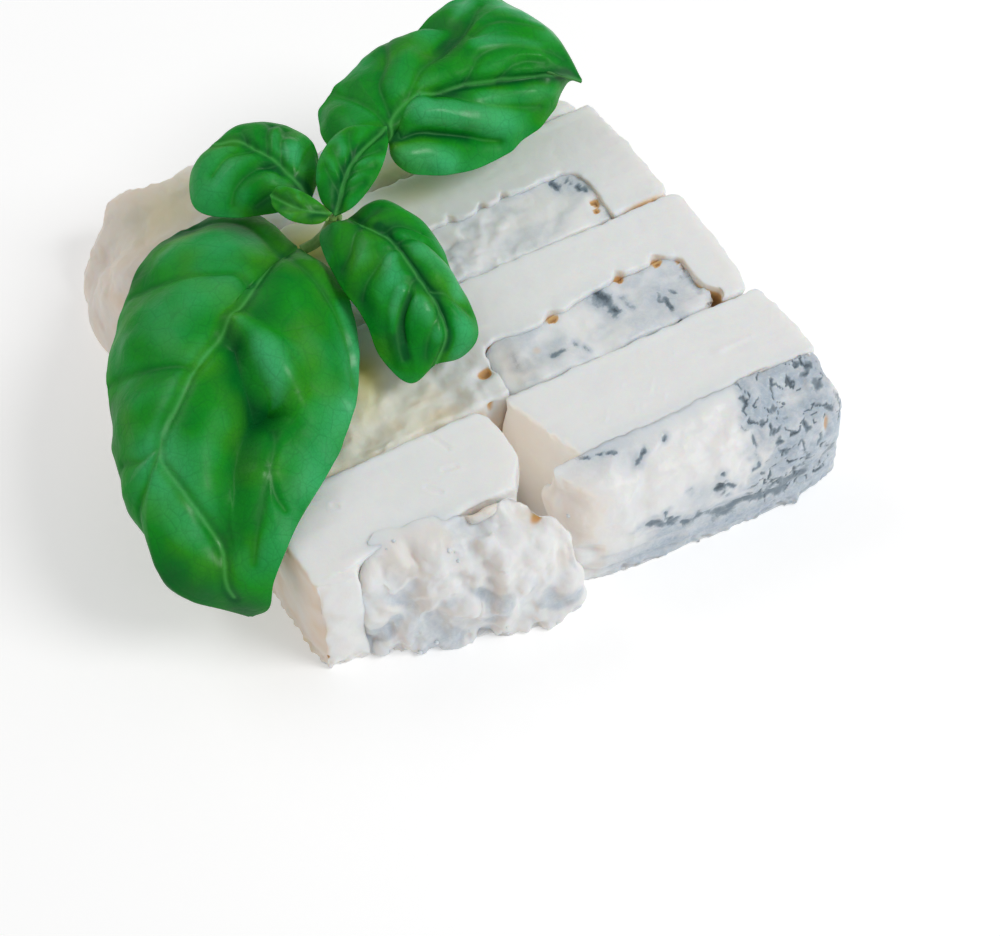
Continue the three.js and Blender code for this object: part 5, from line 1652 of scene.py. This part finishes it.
# %% Geometry Nodes tree: scattered crumbs
CRUMB_INPUTS = [
    ("Geometry", "NodeSocketGeometry"), ("Crumbs per Area", "NodeSocketFloat"),
    ("Smallest Radius", "NodeSocketFloat"), ("Largest Radius", "NodeSocketFloat"),
    ("Lumpiness", "NodeSocketFloat"), ("Seed", "NodeSocketInt"), ("Finish", "NodeSocketMaterial"),
]
FULL_TURN = 2 * math.pi

crumb_tree = bpy.data.node_groups.new("scattered_crumbs", "GeometryNodeTree")
for label, kind in CRUMB_INPUTS:
    crumb_tree.interface.new_socket(label, in_out="INPUT", socket_type=kind)
crumb_tree.interface.new_socket("Geometry", in_out="OUTPUT", socket_type="NodeSocketGeometry")
given = crumb_tree.nodes.new("NodeGroupInput").outputs
where = add_node(crumb_tree, "GeometryNodeInputNamedAttribute", {"data_type": "FLOAT"}, Name="crumb_share")
density = maths(crumb_tree, "MULTIPLY", where.outputs["Attribute"], given["Crumbs per Area"])
places = add_node(
    crumb_tree, "GeometryNodeDistributePointsOnFaces", Mesh=given["Geometry"], Density=density,
    Seed=given["Seed"],
)
grain_ball = add_node(crumb_tree, "GeometryNodeMeshIcoSphere", Radius=1.0, Subdivisions=2)
ripple = add_node(crumb_tree, "ShaderNodeTexNoise", Scale=1.3, Detail=1.0)
centred = add_node(
    crumb_tree, "ShaderNodeVectorMath", {"operation": "SUBTRACT"}, in0=ripple.outputs["Color"],
    in1=(0.5, 0.5, 0.5),
)
dented = add_node(
    crumb_tree, "ShaderNodeVectorMath", {"operation": "SCALE"}, in0=centred.outputs[0],
    Scale=given["Lumpiness"],
)
crumb = add_node(
    crumb_tree, "GeometryNodeSetPosition", Geometry=grain_ball.outputs["Mesh"], Offset=dented.outputs[0]
)
turn = add_node(
    crumb_tree, "FunctionNodeRandomValue", {"data_type": "FLOAT_VECTOR"}, in1=(FULL_TURN,) * 3,
    Seed=given["Seed"],
)
radius = add_node(
    crumb_tree, "FunctionNodeRandomValue", {"data_type": "FLOAT"}, in2=given["Smallest Radius"],
    in3=given["Largest Radius"], Seed=given["Seed"],
)
scattered = add_node(
    crumb_tree, "GeometryNodeInstanceOnPoints", Points=places.outputs["Points"],
    Instance=crumb.outputs["Geometry"], Rotation=turn.outputs[0], Scale=radius.outputs[1],
)
real = add_node(crumb_tree, "GeometryNodeRealizeInstances", Geometry=scattered.outputs[0])
finished = add_node(
    crumb_tree, "GeometryNodeSetMaterial", Geometry=real.outputs[0], Material=given["Finish"]
)
crumb_tree.links.new(finished.outputs[0], crumb_tree.nodes.new("NodeGroupOutput").inputs[0])
print("crumb tree inputs:", [label for label, kind in CRUMB_INPUTS])

# %% Crumbs on the torn stripes
torn = bmesh.new()
for name in ("gorgonzola_front_left", "gorgonzola_front_right"):
    torn.from_mesh(bpy.data.objects[name + "_soft"].data)
torn_mesh = bpy.data.meshes.new("torn_faces")
torn.to_mesh(torn_mesh)
torn.free()
torn_spots = np.array([vertex.co for vertex in torn_mesh.vertices]) / MM
torn_normals = np.array([vertex.normal for vertex in torn_mesh.vertices])
on_front = ramp(-torn_normals[:, 1], 0.1, 0.6)
left_stripe = ramp(torn_spots[:, 0], -2.0, -6.0)
at_foot = ramp(torn_spots[:, 2], 6.0, 2.0) * ramp(torn_spots[:, 2], 0.7, 1.2)
share = on_front * at_foot * (0.3 + 0.7 * left_stripe)
share += 0.03 * on_front * left_stripe
share += 0.45 * ramp(np.abs(torn_spots[:, 1] - SEAM), 1.6, 0.6) * ramp(torn_spots[:, 2], 26.5, 27.5)
share *= ramp(noise(torn_spots, 5.0, 171, 2), -0.3, 0.5)
painted = torn_mesh.attributes.new("crumb_share", "FLOAT", "POINT")
painted.data.foreach_set("value", share.astype(np.float32))
torn_faces = bpy.data.objects.new("torn_faces", torn_mesh)
bpy.context.collection.objects.link(torn_faces)
scatter = torn_faces.modifiers.new("crumbs", "NODES")
scatter.node_group = crumb_tree
inputs = {item.name: item.identifier for item in crumb_tree.interface.items_tree if item.in_out == "INPUT"}
for name, value in {
    "Crumbs per Area": 150000.0, "Smallest Radius": 0.18 * MM, "Largest Radius": 0.55 * MM,
    "Lumpiness": 0.7, "Seed": 17, "Finish": gorgonzola,
}.items():
    scatter[inputs[name]] = value
shown = torn_faces.evaluated_get(bpy.context.evaluated_depsgraph_get())
crumb_mesh = bpy.data.meshes.new_from_object(shown)
bpy.data.objects.remove(torn_faces)
for label in MASKS:
    crumb_mesh.attributes.remove(crumb_mesh.attributes[label])
crumb_mesh.shade_smooth()
crumbs = bpy.data.objects.new("gorgonzola_crumbs", crumb_mesh)
bpy.context.collection.objects.link(crumbs)
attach(crumbs, "root")
crumb_mesh.calc_loop_triangles()
print("crumb triangles:", len(crumb_mesh.loop_triangles), "materials:", len(crumb_mesh.materials))
